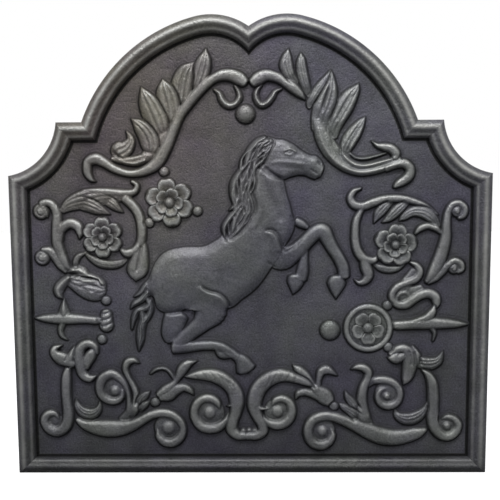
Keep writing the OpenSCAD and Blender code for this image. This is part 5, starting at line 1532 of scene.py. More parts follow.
LEAF_MARKS: list[Mark] = [
    Mark([[-195, 221, 1], [-192, 219, 1.3], [-188, 215.5, 1.3], [-184, 213.5, 1.3],
        [-180, 214.5, 1]], 1.4),
    Mark([[-179, 211, 1], [-172, 211.4, 1.3], [-165, 211, 1]], 1.3),
    Mark([[-179, 203, 1], [-170, 203.2, 1.3], [-160, 202, 1]], 1.3),
    Mark([[-178, 206.5, 1.2], [-170, 208, 1.5], [-162, 207.5, 1.2]], -1.0),
    Mark([[-172, 200, 1.2], [-167, 196, 1.5], [-160, 197, 1.2]], -1.0),
    Mark([[166, 134, 1], [169, 125, 1.2], [170, 116, 1]], 1.4),
    Mark([[172, 132, 1], [173, 124, 1.2], [173, 115, 1]], 1.4),
    Mark([[178, 130, 1], [179, 123, 1.2], [182, 115, 1]], 1.2),
    Mark([[155, 127, 0.9], [158, 130, 1.1], [161, 130, 0.9]], 1.2),
    Mark([[-176, 131, 1], [-175, 134, 1.2], [-173.6, 137, 1]], 1.8),
    Mark([[-187, 127, 1], [-187, 130, 1.2], [-186, 136, 1.2], [-183, 141, 1]], 1.4),
    Mark([[-197, 122, 1], [-194, 128, 1.2], [-190, 134, 1]], 1.2),
    Mark([[-159, 172, 0.9], [-152, 173.6, 1.2], [-146, 176, 0.9]], 1.5),
    Mark([[-159.5, 165.6, 0.9], [-152, 167.2, 1.2], [-145.8, 170, 0.9]], 1.6),
    Mark([[-159.5, 159.2, 0.9], [-152, 160.8, 1.2], [-145.5, 164, 0.9]], 1.6),
    Mark([[-158, 154.2, 0.8], [-152, 155.2, 1.1], [-147, 158, 0.8]], 1.2),
    Mark([[-161.4, 170.5, 0.8], [-161.4, 165.8, 1], [-161.4, 161, 0.8]], 1.4),
]


def leaf_heads(relief: Relief) -> Foliage:
    """Lays out the leaf heads, which lie under the scrolls and spindles.

    Args:
        relief: The relief.

    Returns:
        The group.
    """
    return Foliage(relief, [
        Carving("leaf_head_left", 6.0, [
            *ridges(HEAD_LEFT_STEMS), *leaves([HEAD_LEFT_LEAF])]),
        Carving("leaf_head_right", 6.0, [
            Stroke(SNAIL_BED, share=0.5), *stems([SNAIL], 5.5),
            Stroke(SNAIL_CURL, share=0.9, full_width=4.0)]),
    ])


def leaf_tails(relief: Relief) -> Foliage:
    """Lays out the leaf tails under the spindles.

    Args:
        relief: The relief.

    Returns:
        The group.
    """
    return Foliage(relief, [
        Carving("leaf_tail_left", 6.0, stems(TAIL_LEFT_STEMS, 5.0)),
        Carving("leaf_tail_right", 6.0, [
            *stems(TAIL_RIGHT_STEMS, 5.0), *leaves([TAIL_RIGHT_LEAF])]),
    ])


def spindles(relief: Relief) -> Foliage:
    """Lays out the two spindles.

    Args:
        relief: The relief.

    Returns:
        The group.
    """
    return Foliage(relief, [
        Carving("spindle_left", 5.5, [
            *stems([SPINDLE_LEFT_BAR]),
            Stroke(SPINDLE_LEFT_FLARE, Section.RIDGE, 1.0, 5.0),
            Stroke(SPINDLE_LEFT_HOOK, Section.RIDGE, 0.7, 3.0),
            *stems([KNOT]), *knobs(SPINDLE_LEFT_KNOBS)]),
        Carving("spindle_right", 5.5, [
            *stems([SPINDLE_RIGHT_BAR]),
            Stroke(FLARE_RIGHT, share=1.0, full_width=5.0),
            Stroke(SPINDLE_RIGHT_HOOK, Section.RIDGE, 0.7, 3.0)]),
    ])


# ---- lower scrolls

SIDE_LEFT_STEM: Rows = [[-194.5, 114, 3.5], [-196.5, 104, 5.3], [-197.3, 90, 5.5], [-196.8, 76, 5.6],
    [-196, 63, 6.2], [-199, 51.5, 6.6], [-208, 45, 6.2], [-217, 48.3, 5.8], [-221.3, 56.5, 5.2],
    [-217.5, 64, 4.8], [-210.5, 64.8, 3.6], [-206.8, 60, 2], [-208.5, 56.5, 0.8]]
SIDE_LEFT_LEAF: Rows = [[-187, 80, 1], [-185.5, 72.5, 4], [-180, 66, 6], [-172, 63.6, 6.3],
    [-165.3, 66.8, 4.8], [-162, 72.5, 2.4], [-162, 77.5, 0.6]]
SIDE_RIGHT_STEM: Rows = [[182, 111, 1.5], [188, 106, 4.2], [192.3, 97, 5.8], [193.6, 84, 6.3],
    [193.6, 71, 6.4], [194, 58, 6.8], [196.5, 48, 6.4], [203, 40.5, 5.6], [211.5, 39, 5.2],
    [218.3, 44, 4.8], [220.8, 51.5, 4.4], [216.5, 58, 4], [209, 60.3, 3.4], [203.5, 58, 1.2]]
SIDE_RIGHT_BALL: list[float] = [208.5, 50.5, 5]
SIDE_RIGHT_LEAF: Rows = [[153.5, 68.3, 0.8], [156, 62, 3.8], [163, 58.2, 6.2], [172, 58.2, 6.8],
    [180, 62.6, 5.8], [185.3, 69, 3.2], [187.5, 76, 0.6]]
BASE_LEFT_STEMS: list[Rows] = [
    [[-187, 58, 2.5], [-179, 53.5, 6], [-167, 49.5, 8.4], [-153, 47.8, 9.6], [-139, 48.5, 8.6],
     [-128, 51.5, 6.8], [-117.5, 57, 5.6], [-106.5, 63, 5.2], [-95, 65.4, 5.2], [-84.3, 63, 5],
     [-76, 56, 4.6], [-73, 47.3, 4.3], [-76, 38.3, 5], [-84, 32.5, 5.4], [-93, 33.2, 5],
     [-99, 39.3, 3.8], [-100.3, 46, 1.2]],
    [[-137, 56, 6], [-130.5, 66, 4.5], [-130.2, 78, 3], [-131.8, 90, 3], [-137.8, 101.5, 4.4],
     [-148, 108, 5.4], [-157.5, 103, 5.8], [-161, 93, 5.4], [-158.5, 84, 5], [-151, 78.8, 4.6],
     [-143, 78.8, 4], [-137.8, 83.3, 3.2], [-137, 90, 2]],
    [[-119, 119.8, 0.8], [-124, 122.7, 3.2], [-130.3, 121, 4.2], [-133.4, 113.5, 3.6],
     [-130.8, 105, 3.2], [-126, 96, 3.4], [-122.8, 87, 3.8], [-122.6, 77.5, 4.4], [-125, 68, 5],
     [-131, 59, 3]]]
BASE_LEFT_LEAVES: list[Rows] = [
    [[-121, 72, 2.5], [-117, 80, 3.6], [-112, 85, 2.8], [-108.5, 88, 0.6]],
    [[-119, 68, 2.2], [-113.5, 73.6, 2.8], [-109, 77, 0.8]]]
BASE_LEFT_BALLS: Rows = [[-88.5, 48.5, 7.8], [-145, 89.5, 6.2]]
BASE_RIGHT_STEMS: list[Rows] = [
    [[186.5, 46.5, 2.5], [178, 43, 6.4], [166, 39.3, 8], [152, 37.4, 9], [138, 39.5, 9.4],
     [124, 45.3, 8.6], [112, 51, 7.2], [100, 56.3, 6.2], [88, 60.6, 5.8], [77, 61.3, 5.8],
     [66.5, 57, 5.8], [61.6, 48, 5.8], [62, 38.5, 5.8], [67, 31.6, 5.8], [75.5, 29.3, 5.8],
     [83.3, 33, 4.8], [87.2, 40, 3.6], [85.8, 47, 1.2]],
    [[107, 112.3, 0.8], [112.3, 114.6, 3.3], [119.5, 114, 4.6], [124.6, 109, 4.6], [123.6, 101.5, 4.6],
     [119.8, 93, 5], [118, 82, 5.6], [118.3, 70, 6.6], [121, 59, 7], [127, 50, 4]],
    [[124.5, 94, 2.2], [130, 99.5, 4.2], [140, 101, 4.8], [150, 98.3, 4.6], [156.8, 91.3, 4.3],
     [158, 82.5, 4.2], [154, 75, 4.4], [146, 72.3, 4.6], [138.3, 75.3, 4.2], [135, 82, 3.8],
     [137.3, 89, 3.2], [143.5, 91.5, 1.2]]]
BASE_RIGHT_LEAVES: list[Rows] = [
    [[114, 66, 4], [107.5, 76, 3.6], [103, 82, 2.6], [100.5, 88, 0.6]],
    [[115, 59.5, 4.6], [104, 67.5, 3.4], [98.5, 71.5, 2.8], [94.5, 74.5, 0.8]]]
BASE_RIGHT_BALLS: Rows = [[76, 44.8, 6.4], [144.5, 83, 4.4]]
BUD_LEFT_STEMS: list[Rows] = [
    [[-99, 84.5, 3], [-91, 90, 4.6], [-83.5, 95.6, 3.6], [-79, 101, 2.6], [-75.5, 107.5, 4],
     [-71.5, 114, 4.8], [-66, 119, 3.8], [-57.8, 121.4, 0.6]],
    [[-97, 81.5, 3], [-88, 84.5, 5.6], [-80, 90.3, 5], [-71.5, 93, 3.8], [-65, 89.8, 3],
     [-61.2, 84.8, 0.6]],
    [[-106.5, 108, 0.8], [-101, 112.3, 1.6], [-94, 113.8, 1.6], [-88, 111.6, 1.7], [-83.8, 106.5, 1.8],
     [-81, 101, 1.2]]]
BUD_RIGHT_STEMS: list[Rows] = [
    [[66, 94.5, 3], [72, 88, 6], [78.3, 82.6, 7.4], [83.6, 77, 5.4], [87, 73, 1.5]],
    [[67.5, 94.5, 1.8], [61, 101.5, 4], [55, 107.7, 4.8], [49.5, 112.8, 3.8], [45.3, 116.3, 0.8]],
    [[71.5, 92, 2.5], [72.3, 102, 2.8], [75.5, 110, 4.2], [82, 111.5, 4.2], [91.3, 105.6, 0.6]],
    [[47.6, 80, 0.8], [51, 86, 3.2], [58, 87.6, 3.5], [65, 85.3, 3.4], [72, 81.5, 3]]]
CENTRE_LEFT_STEMS: list[Rows] = [
    [[-70, 104.5, 0.8], [-62, 106, 4], [-52, 107, 6], [-42, 106.4, 7.3], [-32, 103, 8], [-23, 96.3, 8],
     [-17.2, 88, 8.2], [-15, 78, 8.2], [-16, 67, 6.6], [-19.5, 56, 6], [-20.5, 47, 6.6],
     [-14, 40.5, 5.4], [-6, 40, 4.6]],
    [[-24.5, 64, 0.8], [-27.5, 56.5, 3.6], [-35, 49.8, 5.6], [-44, 47.8, 5.8], [-53, 50.6, 5.8],
     [-59, 58, 5.4], [-60.4, 67, 5], [-57, 76, 5], [-49.5, 81, 5], [-41, 80.5, 4.8], [-35.3, 75.5, 3.8],
     [-33.5, 69, 1.2]]]
CENTRE_LEFT_LEAF: Rows = [[-13.5, 80, 2], [-17, 75.5, 2.8], [-25, 72.3, 0.8]]
CENTRE_LEFT_BALL: list[float] = [-44, 65, 7.4]
CENTRE_RIGHT_STEMS: list[Rows] = [
    [[66, 93.5, 0.8], [58, 98.5, 4.2], [48, 102.6, 5.4], [38, 105.6, 6.8], [28, 105.3, 7.8],
     [18, 101, 8.3], [9.5, 93, 8.6], [5, 83, 8.4], [3.6, 72, 7.6], [7, 61, 6], [11.5, 52.5, 5.6],
     [12.5, 45, 5.8], [6, 40, 5.2], [-1.5, 39.6, 4.4]],
    [[12.8, 62, 0.8], [17.5, 55.3, 3.8], [26, 51.8, 5.6], [35, 53.6, 5.8], [41.5, 60, 5.6],
     [43.4, 69, 5.2], [40.4, 77, 4.8], [33, 80.7, 4.4], [25.8, 78.5, 3.8], [22, 72.5, 1.2]]]
CENTRE_RIGHT_LEAF: Rows = [[4, 74, 2], [10, 70.5, 2.6], [18, 69.5, 0.8]]
CENTRE_RIGHT_BALL: list[float] = [28.3, 66.5, 7.2]


CENTRE_FOOT: Rows = [[7, 40.2, 4.6], [1, 39.8, 4.8], [-4.8, 39.6, 4.6]]

SCROLL_MARKS: list[Mark] = [
    Mark([[x, z, 0.8], [(x + u) / 2 + 1.5, (z + v) / 2, 1.1], [u, v, 0.8]], 0.6)
    for x, z, u, v in [
        (21, 106, 14, 92), (27, 109, 20, 95), (34, 110, 27, 97), (41, 109, 34, 98),
        (48, 106, 42, 97), (-60, 107, -56, 103), (-52, 110, -47, 102),
        (-44, 111, -38, 101), (-36, 109, -29, 98), (-29, 105, -22, 94),
        (-23, 100, -16, 90)]
]


def buds(relief: Relief) -> Foliage:
    """Lays out the buds over the bottom scrolls.

    Args:
        relief: The relief.

    Returns:
        The group.
    """
    return Foliage(relief, [
        Carving("bud_left", 5.0, stems(fuller(BUD_LEFT_STEMS), 5.5)),
        Carving("bud_right", 5.0, stems(fuller(BUD_RIGHT_STEMS), 5.5)),
    ])


def bottom_scrolls(relief: Relief) -> Foliage:
    """Lays out the scrolls along the bottom and up the sides.

    Args:
        relief: The relief.

    Returns:
        The group.
    """
    return Foliage(relief, [
        Carving("centre_scroll_right", 6.5, [
            *coils([[28.3, 66.5, 14]]), *stems(CENTRE_RIGHT_STEMS),
            *stems([CENTRE_RIGHT_LEAF], 3.5),
            *stems([CENTRE_FOOT]),
            *knobs([CENTRE_RIGHT_BALL, [-2, 45.6, 3.4, 0.6], [4, 45.2, 3.4, 0.6]])]),
        Carving("centre_scroll_left", 6.5, [
            *coils([[-44, 65, 15.5]]), *stems(CENTRE_LEFT_STEMS),
            *stems([CENTRE_LEFT_LEAF], 3.5),
            *knobs([CENTRE_LEFT_BALL, [-8.2, 45.2, 3.4, 0.6]])], Overlap(1.0, 0.0, 1.2, 1.5)),
        Carving("base_scroll_left", 6.0, [
            *coils([[-88.5, 48.5, 15], [-145, 91, 14]]), *stems(BASE_LEFT_STEMS[:1]),
            *stems(BASE_LEFT_STEMS[1:], root=0.14),
            *leaves(fuller(BASE_LEFT_LEAVES, 1.35)), *knobs(BASE_LEFT_BALLS)]),
        Carving("base_scroll_right", 6.0, [
            *coils([[75.5, 45, 14], [145, 86, 13]]), *stems(BASE_RIGHT_STEMS[:1]),
            *stems(BASE_RIGHT_STEMS[1:], root=0.14),
            *leaves(fuller(BASE_RIGHT_LEAVES, 1.3)),
            *knobs(BASE_RIGHT_BALLS)]),
        Carving("side_stem_left", 6.0, [
            *coils([[-210.5, 55.5, 9]]), *stems([SIDE_LEFT_STEM]),
            *leaves([SIDE_LEFT_LEAF])]),
        Carving("side_stem_right", 6.0, [
            *coils([[208.5, 50.5, 10]]), *stems([SIDE_RIGHT_STEM]),
            *leaves([SIDE_RIGHT_LEAF]),
            *knobs([SIDE_RIGHT_BALL])]),
    ])


# ---- roses and balls


@dataclass(frozen=True)
class RoseSize:
    """Sizes of a rose in mm, with the first petal's angle in degrees."""

    node: str
    x: float
    z: float
    radius: float
    petals: int
    turn: float
    rise: float = 5.4


@dataclass(frozen=True)
class PetalForm:
    """Sizes of a petal in mm, with its spread in degrees.

    foot and radius are where it starts and ends, measured from the flower's middle,
    dish is its height at the foot as a share of the rim's, and lean is how much one
    side stands over the other, so that it lies over the next petal.
    """

    foot: float
    radius: float
    spread: float
    rise: float
    dish: float = 0.5
    lean: float = 0.5
    top: float = 8.5


@dataclass
class Bosses:
    """The roses, the medallion, the balls and the beads."""

    relief: Relief
    roses: tuple[RoseSize, ...] = (
        RoseSize("rose_top", -83.5, 290.0, 26.0, 6, 38.0),
        RoseSize("rose_left", -154.0, 254.0, 22.0, 6, 30.0),
        RoseSize("rose_right", 151.5, 244.5, 23.0, 5, 10.0))
    medallion: RoseSize = RoseSize("medallion", 124.0, 156.5, 26.0, 5, -90.0, 4.0)
    medallion_ring: float = 6.5
    medallion_eye: float = 6.2
    inner_petals: int = 5
    petal_spread: float = 80.0
    eye_share: float = 0.24
    crest_ball: tuple[float, float, float, float] = (-3.7, 380.5, 9.8, 6.0)
    side_ball: tuple[float, float, float, float] = (84.0, 154.5, 10.6, 5.5)
    pad_rise: float = 0.5
    rose_pad_rise: float = 0.8
    bead_radius: float = 5.0
    bead_rise: float = 3.0
    bead_spots: tuple[tuple[float, float], ...] = (
        (-88.5, 322.0), (-54.5, 281.0), (-105.0, 269.0), (-152.3, 187.0), (-157.8, 145.2),
        (-102.5, 76.5), (88.5, 71.7), (144.0, 180.5), (145.6, 135.8))

    def __post_init__(self) -> None:
        """Names the two turned balls."""
        self.balls = {"crest_ball": self.crest_ball, "side_ball": self.side_ball}

    def carve(self) -> None:
        """Lays the low pads that the turned and petalled pieces stand on."""
        for size in self.roses:
            ring = size.radius * 0.66
            turns = [math.radians(size.turn + 360.0 * i / size.petals) for i in range(size.petals)]
            rounds = [(size.x + ring * math.cos(a), size.z + ring * math.sin(a),
                       size.radius - ring) for a in turns]
            self.pad(size.node, self.rose_pad_rise, [(size.x, size.z, ring), *rounds])
        m = self.medallion
        self.pad(m.node, self.pad_rise, [(m.x, m.z, m.radius)])
        for node, ball in self.balls.items():
            self.pad(node, self.pad_rise, [ball[:3]])
        self.pad("beads", self.pad_rise, [(*spot, self.bead_radius) for spot in self.bead_spots])

    def pad(self, node: str, rise: float, rounds: list[tuple[float, ...]]) -> None:
        """Lays one low pad.

        Args:
            node: The node that it stands for.
            rise: Its height in mm.
            rounds: The x, z and radius in mm of each round that it is made of.
        """
        forms: list[Form] = [Knob(*spot, 0.1) for spot in rounds]
        self.relief.carve(Carving(node, rise, forms, Overlap(0.0, 2.4, 1.2)))

    def build(self) -> None:
        """Makes the pads, then the petals, rings, balls and beads on them."""
        nodes = [s.node for s in (*self.roses, self.medallion)] + [*self.balls, "beads"]
        self.pads = {n: self.relief.piece(n) for n in nodes}
        self.spread = self.spread_tree()
        self.pieces: list[bpy.types.Object] = []
        for s in self.roses:
            at, share = [(s.x, s.z)], 360.0 / s.petals
            outer = PetalForm(s.radius * 0.2, s.radius, share * 1.12, s.rise, 0.34, 0.7)
            inner = PetalForm(s.radius * 0.08, s.radius * 0.62, self.petal_spread, s.rise * 1.25,
                              0.3, 0.7)
            self.spread_out(
                self.petal(f"{s.node}_outer_petal", outer), at, f"{s.node}_outer", s.petals, s.turn)
            self.spread_out(self.petal(f"{s.node}_inner_petal", inner), at, f"{s.node}_inner",
                            self.inner_petals, s.turn + share / 2)
            eye = self.turned(f"{s.node}_eye_turned", s.radius * self.eye_share, s.rise * 1.4)
            self.spread_out(eye, at, f"{s.node}_eye")
        m = self.medallion
        at = [(m.x, m.z)]
        petal = PetalForm(3.0, m.radius - self.medallion_ring - 1.0, self.petal_spread, m.rise,
                          0.55, 0.4)
        self.spread_out(self.petal("medallion_petal", petal), at, "medallion_petals", m.petals, m.turn)
        self.spread_out(self.turned("medallion_eye", self.medallion_eye, m.rise * 1.3), at,
                        "medallion_boss")
        self.spread_out(
            self.hoop("medallion_hoop", m.radius, self.medallion_ring), at, "medallion_ring")
        for node, (x, z, radius, rise) in self.balls.items():
            self.spread_out(self.turned(f"{node}_turned", radius, rise), [(x, z)], f"{node}_dome")
        self.spread_out(self.turned("bead_turned", self.bead_radius, self.bead_rise),
                        list(self.bead_spots), "beads_turned")

    def dress(self, finishes: Finishes) -> None:
        """Finishes the roses, the medallion, the balls and the beads.

        Args:
            finishes: The iron finishes.
        """
        for node, piece in self.pads.items():
            finishes.dress(piece, Slot.BOSS)
            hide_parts(node)
        for piece in self.pieces:
            finishes.dress(piece, Slot.BOSS)

    @staticmethod
    def lathe(name: str, rim: Array, soot: Array, rub: Array, around: int = 40) -> bpy.types.Object:
        """Turns a profile about the Y axis into a closed shape.

        Args:
            name: Its name.
            rim: Rows of radius and height in mm, from the seat to the middle.
            soot: The soot, with painted shade, of each row.
            rub: The wear of each row.
            around: How many points a full turn has.

        Returns:
            The object, which only a geometry tree reads.
        """
        a = np.arange(around) * 2 * np.pi / around
        verts = [[r * math.cos(t), -h, r * math.sin(t)] for r, h in rim for t in a]
        count = len(rim)
        verts += [[0.0, -rim[0][1], 0.0], [0.0, -rim[-1][1], 0.0]]
        low, top = count * around, count * around + 1
        quads, caps = [], []
        for k in range(around):
            n = (k + 1) % around
            for i in range(count - 1):
                quads.append([i * around + k, i * around + n, (i + 1) * around + n,
                              (i + 1) * around + k])
            caps.append([low, n, k])
            caps.append([top, (count - 1) * around + k, (count - 1) * around + n])
        mesh = mesh_from_arrays(
            name, np.array(verts) * MM, [(np.array(quads), True), (np.array(caps), True)])
        set_attribute(mesh, "soot", np.append(np.repeat(soot, around), [1.0, soot[-1]]))
        set_attribute(mesh, "rub", np.append(np.repeat(rub, around), [0.0, rub[-1]]))
        return linked(name, mesh)

    def turned(self, name: str, radius: float, rise: float) -> bpy.types.Object:
        """Makes a turned ball.

        Args:
            name: Its name.
            radius: Its radius in mm.
            rise: Its height in mm.

        Returns:
            The object, which only a geometry tree reads.
        """
        a = np.linspace(0.0, np.pi / 2 * 0.96, 14)
        rim = np.stack([radius * np.cos(a), rise * np.sin(a)], axis=1)
        rim = np.vstack([[radius, -SEAT], rim])
        u = np.append([0.0], np.sin(a))
        # soot with painted shade round the ball's foot, wear on its top
        return self.lathe(name, rim, np.clip(1.0 - u / 0.45, 0, 1), 0.35 * smoothstep(0.5, 1.0, u))

    @staticmethod
    def petal(name: str, form: PetalForm) -> bpy.types.Object:
        """Makes one broad petal with a ruffled, rolled rim, pointing along +X.

        Args:
            name: Its name.
            form: Its sizes.

        Returns:
            The object, which only a geometry tree reads.
        """
        across, along = 29, 17
        u = np.linspace(-1.0, 1.0, across)[:, None]
        v = np.linspace(0.0, 1.0, along)[None, :]
        notch = 0.05 * np.exp(-((u / 0.2) ** 2))
        rim = form.radius * (1.0 - 0.34 * np.abs(u) ** 2.4 - notch)
        r = form.foot + (rim - form.foot) * v
        a = math.radians(form.spread) / 2 * u * (0.72 + 0.28 * np.sin(v * np.pi / 2))
        roll = np.clip((v - 0.86) / 0.14, 0.0, 1.0)
        cup = form.dish + (1.0 - form.dish) * smoothstep(0.1, 0.86, v)
        fold = 1.0 + 0.16 * (np.abs(u) ** 1.5 - 0.4) * v
        edge = 1.0 - 0.45 * smoothstep(0.82, 1.0, np.abs(u))
        high = form.rise * cup * fold * edge * np.sqrt(1.0 - 0.75 * roll**2)
        high = high + form.lean * u * v
        high = np.clip(high, 0.4, form.top)
        x, z = r * np.cos(a), r * np.sin(a)
        top = np.stack([x, -high, z], axis=2).reshape(-1, 3)
        low = top.copy()
        low[:, 1] = SEAT
        k = np.arange(across * along).reshape(across, along)
        cells = np.stack([k[:-1, :-1], k[:-1, 1:], k[1:, 1:], k[1:, :-1]], axis=2)
        cells = cells.reshape(-1, 4)
        loop = np.concatenate([k[0, :-1], k[:-1, -1], k[-1, :0:-1], k[:0:-1, 0]])
        after = np.roll(loop, -1)
        size = across * along
        walls = np.stack([loop, loop + size, after + size, after], axis=1)
        mesh = mesh_from_arrays(name, np.vstack([top, low]) * MM, [
            (cells, True), (cells[:, ::-1] + size, True), (walls, False)])
        face_outward(mesh)
        brink = np.maximum(np.abs(u), v * np.ones_like(u))
        # soot with painted shade along the petal's sides, where the next one lies over it, and towards
        # the flower's middle; wear along its rim
        soot = 0.9 * smoothstep(0.9, 1.0, np.abs(u)) + 0.8 * (1.0 - smoothstep(0.0, 0.5, v))
        rub = 0.8 * smoothstep(0.62, 0.86, brink) * (1.0 - roll) * smoothstep(0.3, 0.6, v)
        for key, values, under in (("soot", soot, 1.0), ("rub", rub, 0.0)):
            flat = (values * np.ones((across, along))).reshape(-1)
            set_attribute(mesh, key, np.concatenate([flat, np.full(size, under)]))
        return linked(name, mesh)

    def hoop(self, name: str, radius: float, width: float) -> bpy.types.Object:
        """Makes the medallion's round ring.

        Args:
            name: Its name.
            radius: Its outer radius in mm.
            width: Its width in mm.

        Returns:
            The object, which only a geometry tree reads.
        """
        around, across = 96, 20
        verts, soot, rub = [], [], []
        for i in range(around):
            a = 2 * math.pi * i / around
            for j in range(across):
                b = 2 * math.pi * j / across
                r = radius - width / 2 + width / 2 * math.cos(b)
                h = max(width / 2 * math.sin(b), -SEAT)
                verts.append([r * math.cos(a), -h, r * math.sin(a)])
                # soot with painted shade low on the ring, at its foot; wear on its top
                soot.append(max(0.0, 1.0 - h / 1.1))
                rub.append(max(0.0, (h - 1.8) / 1.5))
        faces = []
        for i in range(around):
            n = (i + 1) % around
            for j in range(across):
                k = (j + 1) % across
                faces.append([i * across + j, n * across + j, n * across + k, i * across + k])
        mesh = mesh_from_arrays(name, np.array(verts) * MM, [(np.array(faces), True)])
        set_attribute(mesh, "soot", np.array(soot))
        set_attribute(mesh, "rub", np.array(rub))
        return linked(name, mesh)

    def spread_tree(self) -> dict[str, object]:
        """Makes the geometry tree that sets copies of a shape round a ring.

        Returns:
            The tree and its inputs' identifiers.
        """
        t = Tree("ring_of_shapes", "GeometryNodeTree")
        t.socket("Geometry", "NodeSocketGeometry")
        ids = {
            "shape": t.socket("Shape", "NodeSocketObject"),
            "count": t.socket("Count", "NodeSocketInt", default=6),
            "turn": t.socket("Turn", "NodeSocketFloat", default=0.0),
            "material": t.socket("Material", "NodeSocketMaterial")}
        t.socket("Geometry", "NodeSocketGeometry", "OUTPUT")
        given = t.add("NodeGroupInput").outputs
        copies = t.add(
            "GeometryNodeDuplicateElements", {"Geometry": given["Geometry"], "Amount": given["Count"]},
            domain="POINT")
        share = t.maths("DIVIDE", copies.outputs[1], given["Count"])
        turn_to = t.plus(t.times(share, 2 * math.pi), given["Turn"])
        facing = t.add("ShaderNodeCombineXYZ", {1: t.times(turn_to, -1.0)})
        shape = t.add("GeometryNodeObjectInfo", {"Object": given["Shape"]})
        placed = t.add("GeometryNodeInstanceOnPoints", {
            "Points": copies.outputs[0], "Instance": shape.outputs["Geometry"],
            "Rotation": facing.outputs[0]})
        real = t.add("GeometryNodeRealizeInstances", {0: placed.outputs[0]})
        done = t.add("GeometryNodeSetMaterial", {
            "Geometry": real.outputs[0], "Material": given["Material"]})
        t.add("NodeGroupOutput", {0: done.outputs[0]})
        return {"tree": t.tree, **ids}

    def spread_out(self, shape: bpy.types.Object, spots: list[tuple[float, float]], name: str,
                   count: int = 1, turn: float = 0.0) -> None:
        """Makes a piece of copies of a shape, round each of the given spots.

        Args:
            shape: The shape; it is removed.
            spots: The spots in mm.
            name: The piece's name.
            count: How many copies stand round each spot.
            turn: The first copy's angle in degrees.
        """
        tree = self.spread
        points = loose_points(f"{name}_at", np.array([[x, 0.0, z] for x, z in spots]) * MM)
        self.pieces.append(plain_piece(points, tree["tree"], {
            tree["shape"]: shape, tree["count"]: count, tree["turn"]: math.radians(turn),
            tree["material"]: bpy.data.materials[Slot.BOSS.value]}, name))
        bpy.data.objects.remove(shape)


# ---- border


@dataclass(frozen=True)
class MouldingPoint:
    """A point of the moulding's section, in mm, with its soot and painted shade, and its wear."""

    across: float
    height: float
    soot: float
    rub: float


